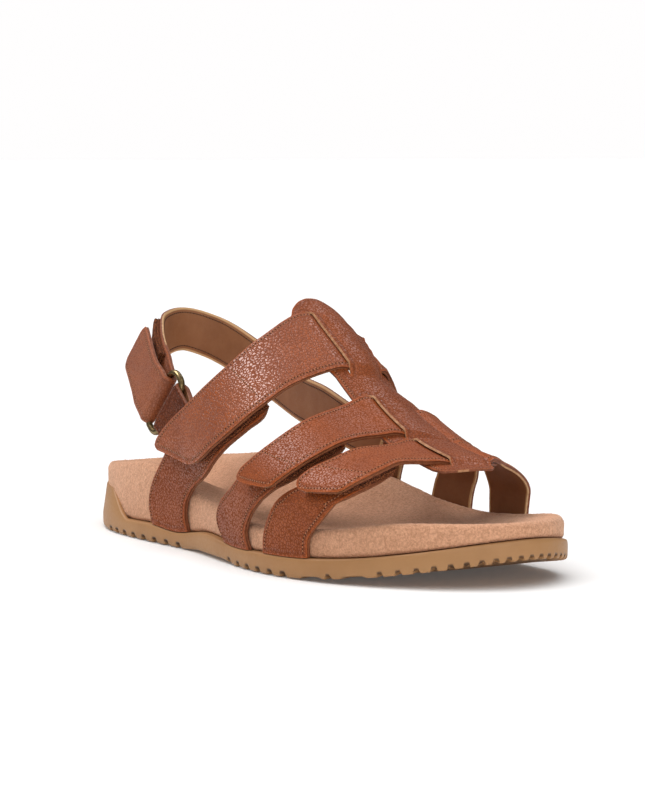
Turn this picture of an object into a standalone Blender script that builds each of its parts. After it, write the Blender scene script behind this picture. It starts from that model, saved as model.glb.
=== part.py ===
"""Strappy sandal, right shoe: contoured footbed sole, woven straps, heel sling with a ring.

Sizes are in millimetres and are turned into metres where a mesh is made.
+X points to the toe, +Y to the inner (arch) side and +Z up. The sole stands on z = 0.
"""
import math

import bmesh
import bpy
import numpy as np

MM = 0.001
CLEARANCE = 0.3

# Moves the tables' frame so that the origin is under the middle of the shoe
PLACE = np.array((-4.0, 1.656, 0.0))

# Sole: overall sizes
LENGTH = 247.0
HEEL_X = -119.5
TOE_SPRING = 9.8
SPRING_START = 0.69
ARCH_LIFT = 1.0
HEEL_TAB_HEIGHT = 10.0
HEEL_TAB_RANGE = (0.122, 0.215)
WAIST_RANGE = (0.38, 0.59)
WAIST_RAMP = 0.06
FOOTBED_INSET = 2.3
STRAP_INSET = 2.0
RIM_POINTS = 96
RIM_ANGLES = [2.0 * math.pi * k / RIM_POINTS for k in range(RIM_POINTS)]

# Straps: leather and pad thickness
LEATHER = 1.8
PAD = 2.4
WEAVE_LIFT = 1.1
PAD_INSET = 1.6
PAD_LIFT = LEATHER + CLEARANCE
OVER_LIFT = PAD_LIFT + PAD + CLEARANCE

# Heel sling, ring and keeper
SLING_WIDTH = 17.0
TAB_LENGTH = 33.0
TAB_HEADING = (-0.82, 0.30, 0.49)
TAB_BULGE = 1.6
KEEPER_LENGTH = 18.0
KEEPER_REACH_OUT = 0.7
RING_CENTRE = (-47.0, -31.0, 52.0)
RING_LONG = (0.57, 0.16, 0.81)
RING_SHORT = (0.82, -0.05, -0.57)
RING_INSIDE = 21.5
RING_CORNER = 3.2
RING_BAR_SPACING = 8.4
RING_WIRE = 2.5
LOOP_ROWS = 40
FOLD_ROWS = 8
TAB_ROWS = 9
KEEPER_ROWS = 6
CORNER_ROWS = 5
TWIST_RANGE = (0.75, 0.97)
SLING_PAD_ROWS = (29, 38)
SLING_PAD_INSET = 1.0


def table(columns, *rows):
    """A short table as a dictionary from column name to numbers."""
    return dict(zip(columns.split(), np.array(rows, float).T))


# Plan of the sole by station (share of the length from heel to toe)
PLAN = table(
    "station centre fullness",
    (0.00, 0.0, 63.3),
    (0.06, 0.1, 54.7),
    (0.15, 0.0, 48.2),
    (0.28, -2.3, 38.8),
    (0.40, -3.6, 34.5),
    (0.54, -2.5, 40.3),
    (0.67, 0.2, 49.2),
    (0.79, 2.3, 53.3),
    (0.92, 8.5, 58.6),
    (1.00, 10.6, 59.2),
)

# Height of the sole's flange above its underside
FLANGE = table(
    "station height",
    (0.000, 7.0),
    (0.215, 6.4),
    (0.290, 6.7),
    (0.360, 5.6),
    (0.455, 8.0),
    (0.590, 6.6),
    (0.670, 7.1),
    (0.850, 6.9),
    (1.000, 7.1),
)

# Section of the outsole from its underside up and over: inset from the outline, level, rise above it
UNDERSIDE, FLANGE_TOP, WALL_TOP = 0, 1, 2
OUTSOLE_SECTION = (
    (4.2, UNDERSIDE, 0.0),
    (1.7, UNDERSIDE, 0.4),
    (0.5, UNDERSIDE, 2.0),
    (0.0, FLANGE_TOP, -1.6),
    (0.2, WALL_TOP, -0.5),
    (0.6, WALL_TOP, 0.0),
    (1.7, WALL_TOP, 0.0),
    (2.0, FLANGE_TOP, 0.0),
)

# Notches in the sole's lower edge: angles round the outline (0 toe, 180 heel, below 0 the outer side)
TREAD = table(
    "first last count width",
    (-135.0, -104.5, 8, 3.8),
    (-82.5, -64.0, 6, 3.8),
    (-57.0, -47.0, 2, 11.0),
    (-52.6, -51.4, 1, 3.4),
    (-41.0, 41.0, 21, 3.4),
    (52.0, 52.0, 1, 11.0),
    (64.0, 82.5, 6, 3.8),
    (104.5, 135.0, 8, 3.8),
)
NOTCH_HEIGHT = 1.9
NOTCH_DEPTH = 5.0
NOTCH_OVERRUN = 2.0

# Rim and middle of the footbed
FOOTBED = table(
    "station outer_rim inner_rim middle",
    (0.00, 23.0, 23.0, 18.0),
    (0.05, 24.0, 24.4, 16.5),
    (0.12, 25.5, 25.8, 16.0),
    (0.20, 28.0, 28.0, 16.2),
    (0.28, 29.0, 30.5, 17.0),
    (0.40, 22.0, 31.0, 18.5),
    (0.535, 17.4, 25.5, 17.5),
    (0.62, 15.8, 19.2, 14.6),
    (0.71, 16.5, 17.0, 13.6),
    (0.795, 18.2, 18.8, 15.2),
    (0.90, 21.9, 22.0, 18.8),
    (1.00, 25.2, 25.2, 23.6),
)

# Section of the footbed's edge: inset from the footbed's own outline, level, rise above it
SEAT, RIM = 0, 1
FOOTBED_SECTION = (
    (1.5, SEAT, 0.0),
    (0.1, SEAT, 0.6),
    (0.0, RIM, -3.0),
    (0.8, RIM, -0.8),
    (2.4, RIM, 0.0),
    (5.0, RIM, -0.8),
)

# Dish of the footbed: shares of the way from the rim to the middle line, and that line's ends
DISH_SHARES = (0.18, 0.36, 0.56, 0.78, 0.94)
DISH_STEEPNESS = 1.05
MIDDLE_LINE = (0.11, 0.86)

# Last: crest line of the instep and the height where its side wall turns in
CREST = table(
    "x y z",
    (-127.5, 3.0, 110.0),
    (-60.0, 3.7, 102.0),
    (-30.0, 4.4, 97.5),
    (0.0, 6.0, 88.5),
    (12.5, 6.8, 80.5),
    (25.5, 7.7, 72.0),
    (38.0, 8.3, 63.0),
    (51.0, 8.8, 54.5),
    (64.0, 9.2, 48.0),
    (76.5, 9.6, 43.2),
    (89.0, 10.0, 39.8),
    (102.0, 10.4, 36.8),
    (127.5, 11.0, 30.0),
)
SHOULDER = table(
    "station outer inner",
    (0.00, 34.0, 34.0),
    (0.28, 36.0, 36.0),
    (0.43, 32.0, 32.0),
    (0.62, 26.0, 26.0),
    (0.795, 27.0, 25.0),
    (1.00, 33.0, 33.0),
)
WALL_SHARE = 0.28
WALL_BULGE = 1.0
OUTER_ROUNDNESS = 1.8
INNER_ROUNDNESS = 1.58
CREST_SOFTENING = 0.09
SOFT_RANGE = (0.25, 0.55)

# Cross straps: girth -1 is the outer foot, 0 the crest and 1 the inner foot
STRAPS = {
    "instep": {
        "pad_end": -0.37,
        "over": table(
            "girth back front",
            (-0.705, -31.0, -14.0),
            (-0.690, -34.5, -7.0),
            (-0.62, -28.0, 9.5),
            (-0.53, -13.4, 20.0),
            (-0.42, -2.0, 26.5),
            (-0.28, 1.6, 27.7),
            (-0.10, 1.8, 29.3),
            (0.00, 5.0, 32.0),
            (0.09, 8.0, 34.5),
            (0.19, 8.0, 34.5),
            (0.33, 5.0, 31.5),
            (0.55, -3.0, 20.0),
            (0.75, -10.5, 11.0),
            (1.00, -13.5, 7.5),
        ),
        "base": table(
            "girth back front",
            (-1.00, -47.2, -20.4),
            (-0.94, -49.0, -22.2),
            (-0.88, -47.8, -20.5),
            (-0.82, -44.0, -14.5),
            (-0.76, -38.9, -5.5),
            (-0.68, -32.5, 4.0),
            (-0.60, -24.5, 13.0),
            (-0.50, -9.0, 22.5),
            (-0.41, -0.5, 25.8),
            (-0.385, 3.0, 24.3),
        ),
    },
    "mid": {
        "pad_end": -0.31,
        "over": table(
            "girth back front",
            (-0.660, 34.0, 47.0),
            (-0.640, 31.5, 53.0),
            (-0.56, 37.5, 61.0),
            (-0.47, 42.0, 63.8),
            (-0.39, 44.0, 64.8),
            (-0.20, 44.6, 63.8),
            (-0.09, 43.0, 65.0),
            (0.00, 46.0, 68.5),
            (0.09, 48.0, 71.0),
            (0.19, 47.0, 70.0),
            (0.33, 41.5, 63.0),
            (0.55, 33.5, 52.0),
            (0.75, 27.3, 45.0),
            (1.00, 25.0, 43.8),
        ),
        "base": table(
            "girth back front",
            (-1.00, 14.7, 36.3),
            (-0.92, 9.0, 34.0),
            (-0.82, 12.0, 38.2),
            (-0.70, 23.6, 47.8),
            (-0.64, 29.5, 52.5),
            (-0.58, 36.0, 57.5),
            (-0.50, 41.0, 61.5),
            (-0.40, 44.5, 63.0),
            (-0.33, 45.5, 63.0),
            (-0.30, 48.0, 61.5),
        ),
    },
    "fore": {
        "pad_end": -0.32,
        "over": table(
            "girth back front",
            (-0.635, 68.0, 80.5),
            (-0.61, 65.5, 86.5),
            (-0.54, 67.5, 90.5),
            (-0.43, 71.0, 91.5),
            (-0.34, 71.2, 89.3),
            (-0.20, 71.2, 88.6),
            (-0.09, 69.7, 91.5),
            (0.00, 71.0, 93.0),
            (0.09, 71.5, 93.0),
            (0.19, 70.0, 91.0),
            (0.33, 64.0, 86.5),
            (0.55, 56.5, 82.0),
            (0.75, 54.8, 79.2),
            (1.00, 56.0, 78.0),
        ),
        "base": table(
            "girth back front",
            (-1.00, 46.0, 69.5),
            (-0.90, 47.2, 70.4),
            (-0.79, 51.0, 77.2),
            (-0.65, 59.3, 85.6),
            (-0.58, 65.0, 88.0),
            (-0.44, 71.2, 89.5),
            (-0.33, 72.5, 87.5),
        ),
    },
}

# Rows of a cross strap where it goes over and under the spine
WEAVE_GIRTHS = (-0.17, -0.11, -0.08, -0.05, 0.0, 0.05, 0.08, 0.11, 0.15, 0.20, 0.25, 0.30, 0.36)

# Outline of the spine seen from above
SPINE = table(
    "x outer inner",
    (-4.0, 5.0, 12.0),
    (-3.0, 1.5, 15.5),
    (0.0, -3.0, 19.5),
    (5.0, -6.0, 22.5),
    (15.0, -7.0, 24.0),
    (85.0, -7.0, 24.0),
    (92.0, -7.2, 22.5),
    (97.0, -7.0, 20.0),
    (100.0, -5.8, 18.0),
    (102.0, -3.0, 16.5),
    (103.4, 1.5, 14.0),
    (104.0, 5.0, 11.5),
)
SLIT_OUTER_Y = 0.5
SLIT_INNER_Y = 16.5
SLIT_SLOPE = 3.6
SLIT_MARGIN = 4.0
SLIT_RAMP = 5.0
SPINE_COLUMNS = (0.0, 0.15, 0.24, 0.33, 0.5, 0.67, 0.76, 0.85, 1.0)
SPINE_ROWS = (-4.0, -3.0, -0.5, *np.linspace(3.0, 99.0, 37), 100.8, 102.2, 103.3, 104.0)

# Heel sling: middle of the band from the inner end, round the heel, to the ring
SLING = table(
    "x y z width",
    (13.0, 32.2, 34.8, 10.5),
    (0.0, 28.8, 39.4, 14.5),
    (-13.0, 27.6, 43.0, 17.5),
    (-28.0, 28.0, 46.6, 17.5),
    (-45.0, 29.4, 50.8, 17.0),
    (-64.0, 29.8, 57.9, 17.0),
    (-81.0, 27.0, 66.6, 17.0),
    (-92.5, 18.5, 74.0, 17.0),
    (-95.5, 8.0, 76.5, 17.0),
    (-90.5, -3.0, 75.5, 17.0),
    (-81.0, -11.5, 71.0, 17.0),
    (-69.0, -19.8, 64.2, 17.0),
    (-59.0, -25.6, 58.6, 17.0),
)


def smooth_curve(where, xs, ys):
    """Smooth interpolation through a table's points, straight on past its ends."""
    where = np.asarray(where, float)
    steps = np.diff(ys) / np.diff(xs)
    spans = np.diff(xs)
    slopes = np.empty(len(xs))
    slopes[0] = steps[0]
    slopes[-1] = steps[-1]
    slopes[1:-1] = (steps[:-1] * spans[1:] + steps[1:] * spans[:-1]) / (spans[1:] + spans[:-1])
    at = np.clip(where, xs[0], xs[-1])
    cell = np.clip(np.searchsorted(xs, at, side="right") - 1, 0, len(xs) - 2)
    h = spans[cell]
    t = (at - xs[cell]) / h
    value = (2 * t**3 - 3 * t**2 + 1) * ys[cell] + (t**3 - 2 * t**2 + t) * h * slopes[cell]
    value = value + (3 * t**2 - 2 * t**3) * ys[cell + 1] + (t**3 - t**2) * h * slopes[cell + 1]
    return value + (where - at) * np.where(where < at, slopes[0], slopes[-1])


def ease(share):
    """Smooth step from 0 to 1."""
    t = np.clip(share, 0.0, 1.0)
    return t * t * (3.0 - 2.0 * t)


def unit(vector):
    vector = np.asarray(vector, float)
    return vector / np.linalg.norm(vector)


def metres(point):
    """Point of the tables in the part's own frame, in metres."""
    return (np.asarray(point, float) + PLACE) * MM


def station_of(x):
    return (x - HEEL_X) / LENGTH


def spring(station):
    """Lift of the toe off the ground."""
    toe = np.clip((station - SPRING_START) / (1.0 - SPRING_START), 0.0, 1.0)
    return TOE_SPRING * toe**2


def underside(station):
    """Height of the sole's underside: flat heel and ball, lifted waist, toe spring."""
    first, last = WAIST_RANGE
    waist = ease((station - first) / WAIST_RAMP) * ease((last - station) / WAIST_RAMP)
    return spring(station) + ARCH_LIFT * waist


def flange_top(station):
    return spring(station) + smooth_curve(station, FLANGE["station"], FLANGE["height"])


def fullness(station):
    return smooth_curve(station, PLAN["station"], PLAN["fullness"])


def half_width(station):
    return fullness(station) * 2.0 * np.sqrt(np.clip(station * (1.0 - station), 0.0, None))


def centre_line(station):
    return smooth_curve(station, PLAN["station"], PLAN["centre"])


def outline(angle):
    """Plan outline of the sole: angle 0 is the toe, pi the heel, and sin > 0 the inner side."""
    station = 0.5 + 0.5 * math.cos(angle)
    y = centre_line(station) + fullness(station) * math.sin(angle)
    return np.array([HEEL_X + LENGTH * station, float(y)])


def inset_outline(angle, inset):
    """Outline moved inwards by inset, square to its own edge."""
    step = 0.01
    along = outline(angle + step) - outline(angle - step)
    inward = unit((-along[1], along[0]))
    return outline(angle) + inward * inset


def loop_at(inset, height, rise):
    """Closed loop of points at an inset and a rise above a height that varies with station and side."""
    loop = []
    for angle in RIM_ANGLES:
        x, y = inset_outline(angle, inset)
        station = 0.5 + 0.5 * math.cos(angle)
        loop.append((x, y, float(height(station, math.sin(angle))) + rise))
    return loop


def material(name, colour, roughness, metallic=0.0):
    surface = bpy.data.materials.new(name)
    surface.use_nodes = True
    shader = surface.node_tree.nodes["Principled BSDF"]
    shader.inputs["Base Color"].default_value = (*colour, 1.0)
    shader.inputs["Roughness"].default_value = roughness
    shader.inputs["Metallic"].default_value = metallic
    return surface


def add_object(name, bm, surface):
    """Close a bmesh into a named object with its faces pointing out."""
    bmesh.ops.recalc_face_normals(bm, faces=bm.faces)
    mesh = bpy.data.meshes.new(name)
    bm.to_mesh(mesh)
    bm.free()
    mesh.materials.append(surface)
    part = bpy.data.objects.new(name, mesh)
    bpy.context.collection.objects.link(part)
    return part


def loft_loops(loops):
    """Solid skinned over closed loops, with its first and last loop closed across."""
    bm = bmesh.new()
    rings = [[bm.verts.new(metres(point)) for point in loop] for loop in loops]
    count = len(rings[0])
    for lower, upper in zip(rings, rings[1:]):
        for k in range(count):
            after = (k + 1) % count
            bm.faces.new((lower[k], lower[after], upper[after], upper[k]))
    for ring in (rings[0], rings[-1]):
        for k in range(count // 2):
            corners = [ring[k], ring[k + 1], ring[count - k - 1], ring[-k]]
            bm.faces.new(list(dict.fromkeys(corners)))
    return bm


def plate(upper, lower):
    """Solid slab between two grids of points, rows by columns."""
    bm = bmesh.new()
    rows, columns = len(upper), len(upper[0])
    top = [[bm.verts.new(metres(p)) for p in row] for row in upper]
    bottom = [[bm.verts.new(metres(p)) for p in row] for row in lower]
    for i in range(rows - 1):
        for j in range(columns - 1):
            bm.faces.new((top[i][j], top[i][j + 1], top[i + 1][j + 1], top[i + 1][j]))
            bm.faces.new((bottom[i][j], bottom[i + 1][j], bottom[i + 1][j + 1], bottom[i][j + 1]))
    rim = [(i, 0) for i in range(rows)]
    rim += [(rows - 1, j) for j in range(1, columns)]
    rim += [(i, columns - 1) for i in range(rows - 2, -1, -1)]
    rim += [(0, j) for j in range(columns - 2, 0, -1)]
    for (i, j), (m, n) in zip(rim, rim[1:] + rim[:1]):
        bm.faces.new((top[i][j], bottom[i][j], bottom[m][n], top[m][n]))
    return bm


# Last


def last_section(x, girth):
    """Point of the last at x and girth."""
    station = station_of(x)
    side = -1.0 if girth < 0.0 else 1.0
    rise = 1.0 - abs(girth)
    edge = centre_line(station) + side * (half_width(station) - STRAP_INSET)
    foot = flange_top(station) + CLEARANCE
    crest_y = smooth_curve(x, CREST["x"], CREST["y"])
    crest_z = smooth_curve(x, CREST["x"], CREST["z"])
    column = "outer" if side < 0.0 else "inner"
    shoulder = smooth_curve(station, SHOULDER["station"], SHOULDER[column])
    if rise < WALL_SHARE:
        t = rise / WALL_SHARE
        y = edge + side * WALL_BULGE * math.sin(t * math.pi / 2)
        z = foot + (shoulder - foot) * t
    else:
        turn = (rise - WALL_SHARE) / (1.0 - WALL_SHARE) * math.pi / 2
        power = 2.0 / (OUTER_ROUNDNESS if side < 0.0 else INNER_ROUNDNESS)
        reach = edge + side * WALL_BULGE - crest_y
        y = crest_y + reach * max(math.cos(turn), 0.0) ** power
        z = shoulder + (crest_z - shoulder) * math.sin(turn) ** power
    return np.array([x, float(y), float(z)])


def last_surface(x, girth):
    """The section with its crest rounded off."""
    girth = min(max(girth, -1.0), 1.0)
    first, last = SOFT_RANGE
    reach = CREST_SOFTENING * (1.0 - ease((abs(girth) - first) / (last - first)))
    sides = last_section(x, girth - reach) + last_section(x, girth + reach)
    return 0.25 * sides + 0.5 * last_section(x, girth)


def last_point(x, girth, lift=0.0):
    """Point lifted off the last, square to its surface."""
    step = 0.02
    low, high = max(girth - step, -1.0), min(girth + step, 1.0)
    across = last_surface(x, high) - last_surface(x, low)
    along = last_surface(x + 1.0, girth) - last_surface(x - 1.0, girth)
    normal = unit(np.cross(along, across))
    return last_surface(x, girth) + normal * lift


def girth_at(x, y):
    """Girth of the point of the last above plan point (x, y), near the crest."""
    station = station_of(x)
    crest_y = float(smooth_curve(x, CREST["x"], CREST["y"]))
    side = -1.0 if y < crest_y else 1.0
    edge = centre_line(station) + side * (half_width(station) - STRAP_INSET + WALL_BULGE)
    power = 2.0 / (OUTER_ROUNDNESS if side < 0.0 else INNER_ROUNDNESS)
    share = min(max((y - crest_y) / (float(edge) - crest_y), 0.0), 1.0)
    turn = math.acos(share ** (1.0 / power))
    rise = WALL_SHARE + (1.0 - WALL_SHARE) * turn / (math.pi / 2)
    return side * (1.0 - rise)


# Sole


def tread_notches():
    """Arched bars that cut the notches, each pointing into the sole."""
    bm = bmesh.new()
    for first, last, count, width in zip(*TREAD.values()):
        for degrees in np.linspace(first, last, int(count)):
            angle = math.radians(degrees)
            edge = inset_outline(angle, 0.0)
            inner = inset_outline(angle, NOTCH_DEPTH)
            station = 0.5 + 0.5 * math.cos(angle)
            inward = unit((*(inner - edge), 0.0))
            middle = np.array((*(edge + 0.5 * (inner - edge)), float(underside(station))))
            along = np.cross((0.0, 0.0, 1.0), inward)
            length = NOTCH_DEPTH + NOTCH_OVERRUN
            bar = bmesh.ops.create_cone(
                bm, cap_ends=True, segments=8, radius1=1.0, radius2=1.0, depth=length
            )["verts"]
            for vert in bar:
                spot = middle + along * vert.co.x * width / 2 + inward * vert.co.z
                spot = spot + np.array((0.0, 0.0, vert.co.y * NOTCH_HEIGHT))
                vert.co = metres(spot)
    return bm


def make_outsole():
    def bottom(station, side):
        return underside(station)

    def flange(station, side):
        return flange_top(station)

    def wall_top(station, side):
        low, high = HEEL_TAB_RANGE
        return flange_top(station) + HEEL_TAB_HEIGHT * (1.0 - ease((station - low) / (high - low)))

    levels = {UNDERSIDE: bottom, FLANGE_TOP: flange, WALL_TOP: wall_top}
    loops = [loop_at(inset, levels[level], rise) for inset, level, rise in OUTSOLE_SECTION]
    gum = material("gum_rubber", (0.42, 0.29, 0.15), 0.55)
    outsole = add_object("outsole", loft_loops(loops), gum)
    tool = add_object("tread_tool", tread_notches(), gum)
    tool.hide_render = True
    tool.display_type = "WIRE"
    cut = outsole.modifiers.new("tread", "BOOLEAN")
    cut.operation = "DIFFERENCE"
    cut.solver = "EXACT"
    cut.object = tool
    return outsole


def make_footbed():
    def rim(station, side):
        share = 0.5 + 0.5 * side
        outer = smooth_curve(station, FOOTBED["station"], FOOTBED["outer_rim"])
        inner = smooth_curve(station, FOOTBED["station"], FOOTBED["inner_rim"])
        return outer + (inner - outer) * ease(share)

    def seat(station, side):
        return flange_top(station) + CLEARANCE

    levels = {SEAT: seat, RIM: rim}
    loops = [loop_at(FOOTBED_INSET + inset, levels[level], rise) for inset, level, rise in FOOTBED_SECTION]
    edge = np.array(loops[-1])
    stations = np.clip(0.5 + 0.5 * np.cos(RIM_ANGLES), *MIDDLE_LINE)
    heights = smooth_curve(stations, FOOTBED["station"], FOOTBED["middle"])
    middle = np.stack([HEEL_X + LENGTH * stations, centre_line(stations), heights], axis=1)
    for share in DISH_SHARES:
        drop = float(ease(share * DISH_STEEPNESS))
        loops.append(edge + (middle - edge) * (share, share, drop))
    suede = material("suede", (0.52, 0.33, 0.2), 0.95)
    return add_object("footbed", loft_loops(loops), suede)


# Straps


def strap_edges(rows, girth):
    back = float(smooth_curve(girth, rows["girth"], rows["back"]))
    front = float(smooth_curve(girth, rows["girth"], rows["front"]))
    return back, front


def strap_plate(rows, girths, lift, thickness, columns=4, inset=0.0):
    """Slab over the last between a strap's two edges, with its underside at lift."""
    upper, lower = [], []
    for girth in girths:
        back, front = strap_edges(rows, girth)
        xs = np.linspace(back + inset, front - inset, columns + 1)
        lower.append([last_point(x, girth, lift(girth)) for x in xs])
        upper.append([last_point(x, girth, lift(girth) + thickness) for x in xs])
    return plate(upper, lower)


def over_lift(pad_end):
    """Height of a cross strap over the last: over its pad, over, under and over the spine, then down."""
    heights = table(
        "girth lift",
        (-1.0, OVER_LIFT),
        (pad_end, OVER_LIFT),
        (pad_end + 0.07, 0.55 * OVER_LIFT + 0.45 * WEAVE_LIFT),
        (pad_end + 0.14, WEAVE_LIFT),
        (-0.11, WEAVE_LIFT),
        (-0.05, 0.0),
        (0.05, 0.0),
        (0.11, WEAVE_LIFT),
        (0.20, WEAVE_LIFT),
        (0.30, 0.2),
        (0.36, 0.0),
        (1.0, 0.0),
    )
    return lambda girth: float(np.interp(girth, heights["girth"], heights["lift"]))


def over_girths(rows):
    """Girths of a cross strap's rows, close together where it weaves."""
    end, tip = rows["girth"][:2]
    outer = np.linspace(tip, -0.22, 10)
    inner = np.linspace(WEAVE_GIRTHS[-1], 1.0, 9)[1:]
    return [end, *outer, *WEAVE_GIRTHS, *inner]


def spine_lift(x, y):
    """The spine rises over each strap between its two slits."""
    middle = 0.5 * (SLIT_OUTER_Y + SLIT_INNER_Y)
    reach = 0.5 * (SLIT_INNER_Y - SLIT_OUTER_Y)
    across = ease((reach - abs(y - middle)) / SLIT_SLOPE + 0.5)
    rise = 0.0
    for strap in STRAPS.values():
        back, front = strap_edges(strap["over"], girth_at(x, y))
        gate = ease((x - back + SLIT_MARGIN) / SLIT_RAMP) * ease((front + SLIT_MARGIN - x) / SLIT_RAMP)
        rise = max(rise, float(gate))
    return WEAVE_LIFT * across * rise


def spine_plate():
    upper, lower = [], []
    for x in SPINE_ROWS:
        outer = float(smooth_curve(x, SPINE["x"], SPINE["outer"]))
        inner = float(smooth_curve(x, SPINE["x"], SPINE["inner"]))
        ys = outer + (inner - outer) * np.array(SPINE_COLUMNS)
        girths = [girth_at(x, y) for y in ys]
        lower.append([last_point(x, g, spine_lift(x, y)) for y, g in zip(ys, girths)])
        upper.append([last_point(x, g, spine_lift(x, y) + LEATHER) for y, g in zip(ys, girths)])
    return plate(upper, lower)


def make_upper():
    leather = material("grained_leather", (0.28, 0.09, 0.035), 0.45)
    upper = add_object("upper", spine_plate(), leather)
    for name, strap in STRAPS.items():
        rows = strap["over"]
        slab = strap_plate(rows, over_girths(rows), over_lift(strap["pad_end"]), LEATHER)
        tool = add_object("joined_" + name, slab, leather)
        tool.hide_render = True
        tool.display_type = "WIRE"
        join = upper.modifiers.new("join_" + name, "BOOLEAN")
        join.operation = "UNION"
        join.solver = "EXACT"
        join.object = tool
    return upper


def make_strap_bases():
    leather = material("leg_leather", (0.25, 0.08, 0.03), 0.48)
    for name, strap in STRAPS.items():
        rows = strap["base"]
        girths = list(np.linspace(-1.0, rows["girth"][-2], 13)) + [rows["girth"][-1]]
        slab = strap_plate(rows, girths, lambda girth: 0.0, LEATHER, columns=3)
        add_object("strap_base_" + name, slab, leather)


def make_fasteners():
    pile = material("pile", (0.08, 0.035, 0.02), 1.0)
    for name, strap in STRAPS.items():
        rows = strap["over"]
        girths = list(np.linspace(rows["girth"][1] + 0.015, strap["pad_end"] - 0.025, 8))
        slab = strap_plate(rows, girths, lambda girth: PAD_LIFT, PAD, columns=3, inset=PAD_INSET)
        add_object("fastener_" + name, slab, pile)


# Heel sling, ring and keeper


def path_through(rows, count):
    """Points evenly spaced along a smooth curve through a table of x, y and z, and the width there."""
    points = np.stack([rows["x"], rows["y"], rows["z"]], axis=1)
    travel = np.concatenate([[0.0], np.cumsum(np.linalg.norm(np.diff(points, axis=0), axis=1))])
    at = np.linspace(0.0, travel[-1], count)
    path = np.stack([smooth_curve(at, travel, points[:, axis]) for axis in range(3)], axis=1)
    return path, smooth_curve(at, travel, rows["width"])


def band(centres, crosses, widths, thickness):
    """Slab along a path, with its cross direction and its width at each point."""
    upper, lower = [], []
    last = len(centres) - 1
    for i, centre in enumerate(centres):
        along = unit(centres[min(i + 1, last)] - centres[max(i - 1, 0)])
        across = unit(crosses[i] - along * np.dot(crosses[i], along))
        normal = np.cross(along, across)
        steps = np.array([-0.5, 0.0, 0.5]) * widths[i]
        upper.append([centre + across * step + normal * thickness / 2 for step in steps])
        lower.append([centre + across * step - normal * thickness / 2 for step in steps])
    return plate(upper, lower)


LONG = unit(RING_LONG)
SHORT = unit(np.array(RING_SHORT) - LONG * np.dot(RING_SHORT, LONG))
OUTWARD = unit(np.cross(SHORT, LONG))
BAR_BACK = np.array(RING_CENTRE) - SHORT * RING_BAR_SPACING / 2
BAR_FRONT = np.array(RING_CENTRE) + SHORT * RING_BAR_SPACING / 2
FOLD_RADIUS = RING_WIRE / 2 + CLEARANCE + LEATHER / 2


def sling_path():
    """Middle of the sling with its cross directions and widths: heel loop, fold at the ring, tab."""
    loop, loop_widths = path_through(SLING, LOOP_ROWS)
    centres = list(loop)
    widths = list(loop_widths)
    crosses = []
    for i in range(LOOP_ROWS):
        along = unit(loop[min(i + 1, LOOP_ROWS - 1)] - loop[max(i - 1, 0)])
        level = unit(np.cross(along, (0.0, 0.0, 1.0)))
        up = np.cross(level, along)
        first, last = TWIST_RANGE
        turn = ease((i / LOOP_ROWS - first) / (last - first))
        crosses.append(unit(up * (1.0 - turn) + LONG * turn))
    for step in range(FOLD_ROWS + 1):
        angle = math.pi * step / FOLD_ROWS
        swing = SHORT * math.sin(angle) - OUTWARD * math.cos(angle)
        centres.append(BAR_BACK + swing * FOLD_RADIUS)
    start = centres[-1]
    for step in range(1, TAB_ROWS + 1):
        far = TAB_LENGTH * step / TAB_ROWS
        bulge = TAB_BULGE * ease(far / (0.3 * TAB_LENGTH))
        centres.append(start + unit(TAB_HEADING) * far + OUTWARD * bulge)
    rest = len(centres) - LOOP_ROWS
    crosses += [LONG] * rest
    widths += [SLING_WIDTH] * rest
    return np.array(centres), np.array(crosses), np.array(widths)


def make_sling():
    leather = material("sling_leather", (0.26, 0.085, 0.03), 0.45)
    centres, crosses, widths = sling_path()
    add_object("heel_sling", band(centres, crosses, widths, LEATHER), leather)


def make_sling_fastener():
    """Pad on the outer face of the sling, under its tab."""
    pile = material("sling_pile", (0.08, 0.035, 0.02), 1.0)
    centres, crosses, widths = sling_path()
    offset = LEATHER / 2 + CLEARANCE + PAD / 2
    rows = range(*SLING_PAD_ROWS)
    middles = []
    for i in rows:
        along = unit(centres[i + 1] - centres[i - 1])
        normal = unit(np.cross(along, crosses[i]))
        away = normal if np.dot(normal, OUTWARD) > 0.0 else -normal
        middles.append(centres[i] + away * offset)
    slab = band(np.array(middles), crosses[rows], widths[rows] - 2.0 * SLING_PAD_INSET, PAD)
    add_object("fastener_sling", slab, pile)


def make_keeper():
    """Short band folded round the ring's front bar, both layers running inside the instep leg."""
    leather = material("keeper_leather", (0.24, 0.075, 0.03), 0.5)
    level = unit(np.array((LONG[0], 0.0, LONG[2])))

    def layer(side):
        spots = []
        for step in range(KEEPER_ROWS + 1):
            share = step / KEEPER_ROWS
            apart = FOLD_RADIUS + ((LEATHER + CLEARANCE) / 2 - FOLD_RADIUS) * ease(share)
            out = side * apart + KEEPER_REACH_OUT * ease(share)
            spots.append(BAR_FRONT + SHORT * KEEPER_LENGTH * share + OUTWARD * out)
        return spots

    shares = [step / KEEPER_ROWS for step in range(KEEPER_ROWS + 1)]
    tail_crosses = [unit(LONG + (level - LONG) * share) for share in shares]
    fold = []
    for step in range(1, FOLD_ROWS):
        angle = math.pi * step / FOLD_ROWS
        swing = -SHORT * math.sin(angle) - OUTWARD * math.cos(angle)
        fold.append(BAR_FRONT + swing * FOLD_RADIUS)
    centres = layer(-1.0)[::-1] + fold + layer(1.0)
    crosses = tail_crosses[::-1] + [LONG] * len(fold) + tail_crosses
    widths = [SLING_WIDTH] * len(centres)
    add_object("ring_keeper", band(np.array(centres), np.array(crosses), widths, LEATHER), leather)


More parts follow.
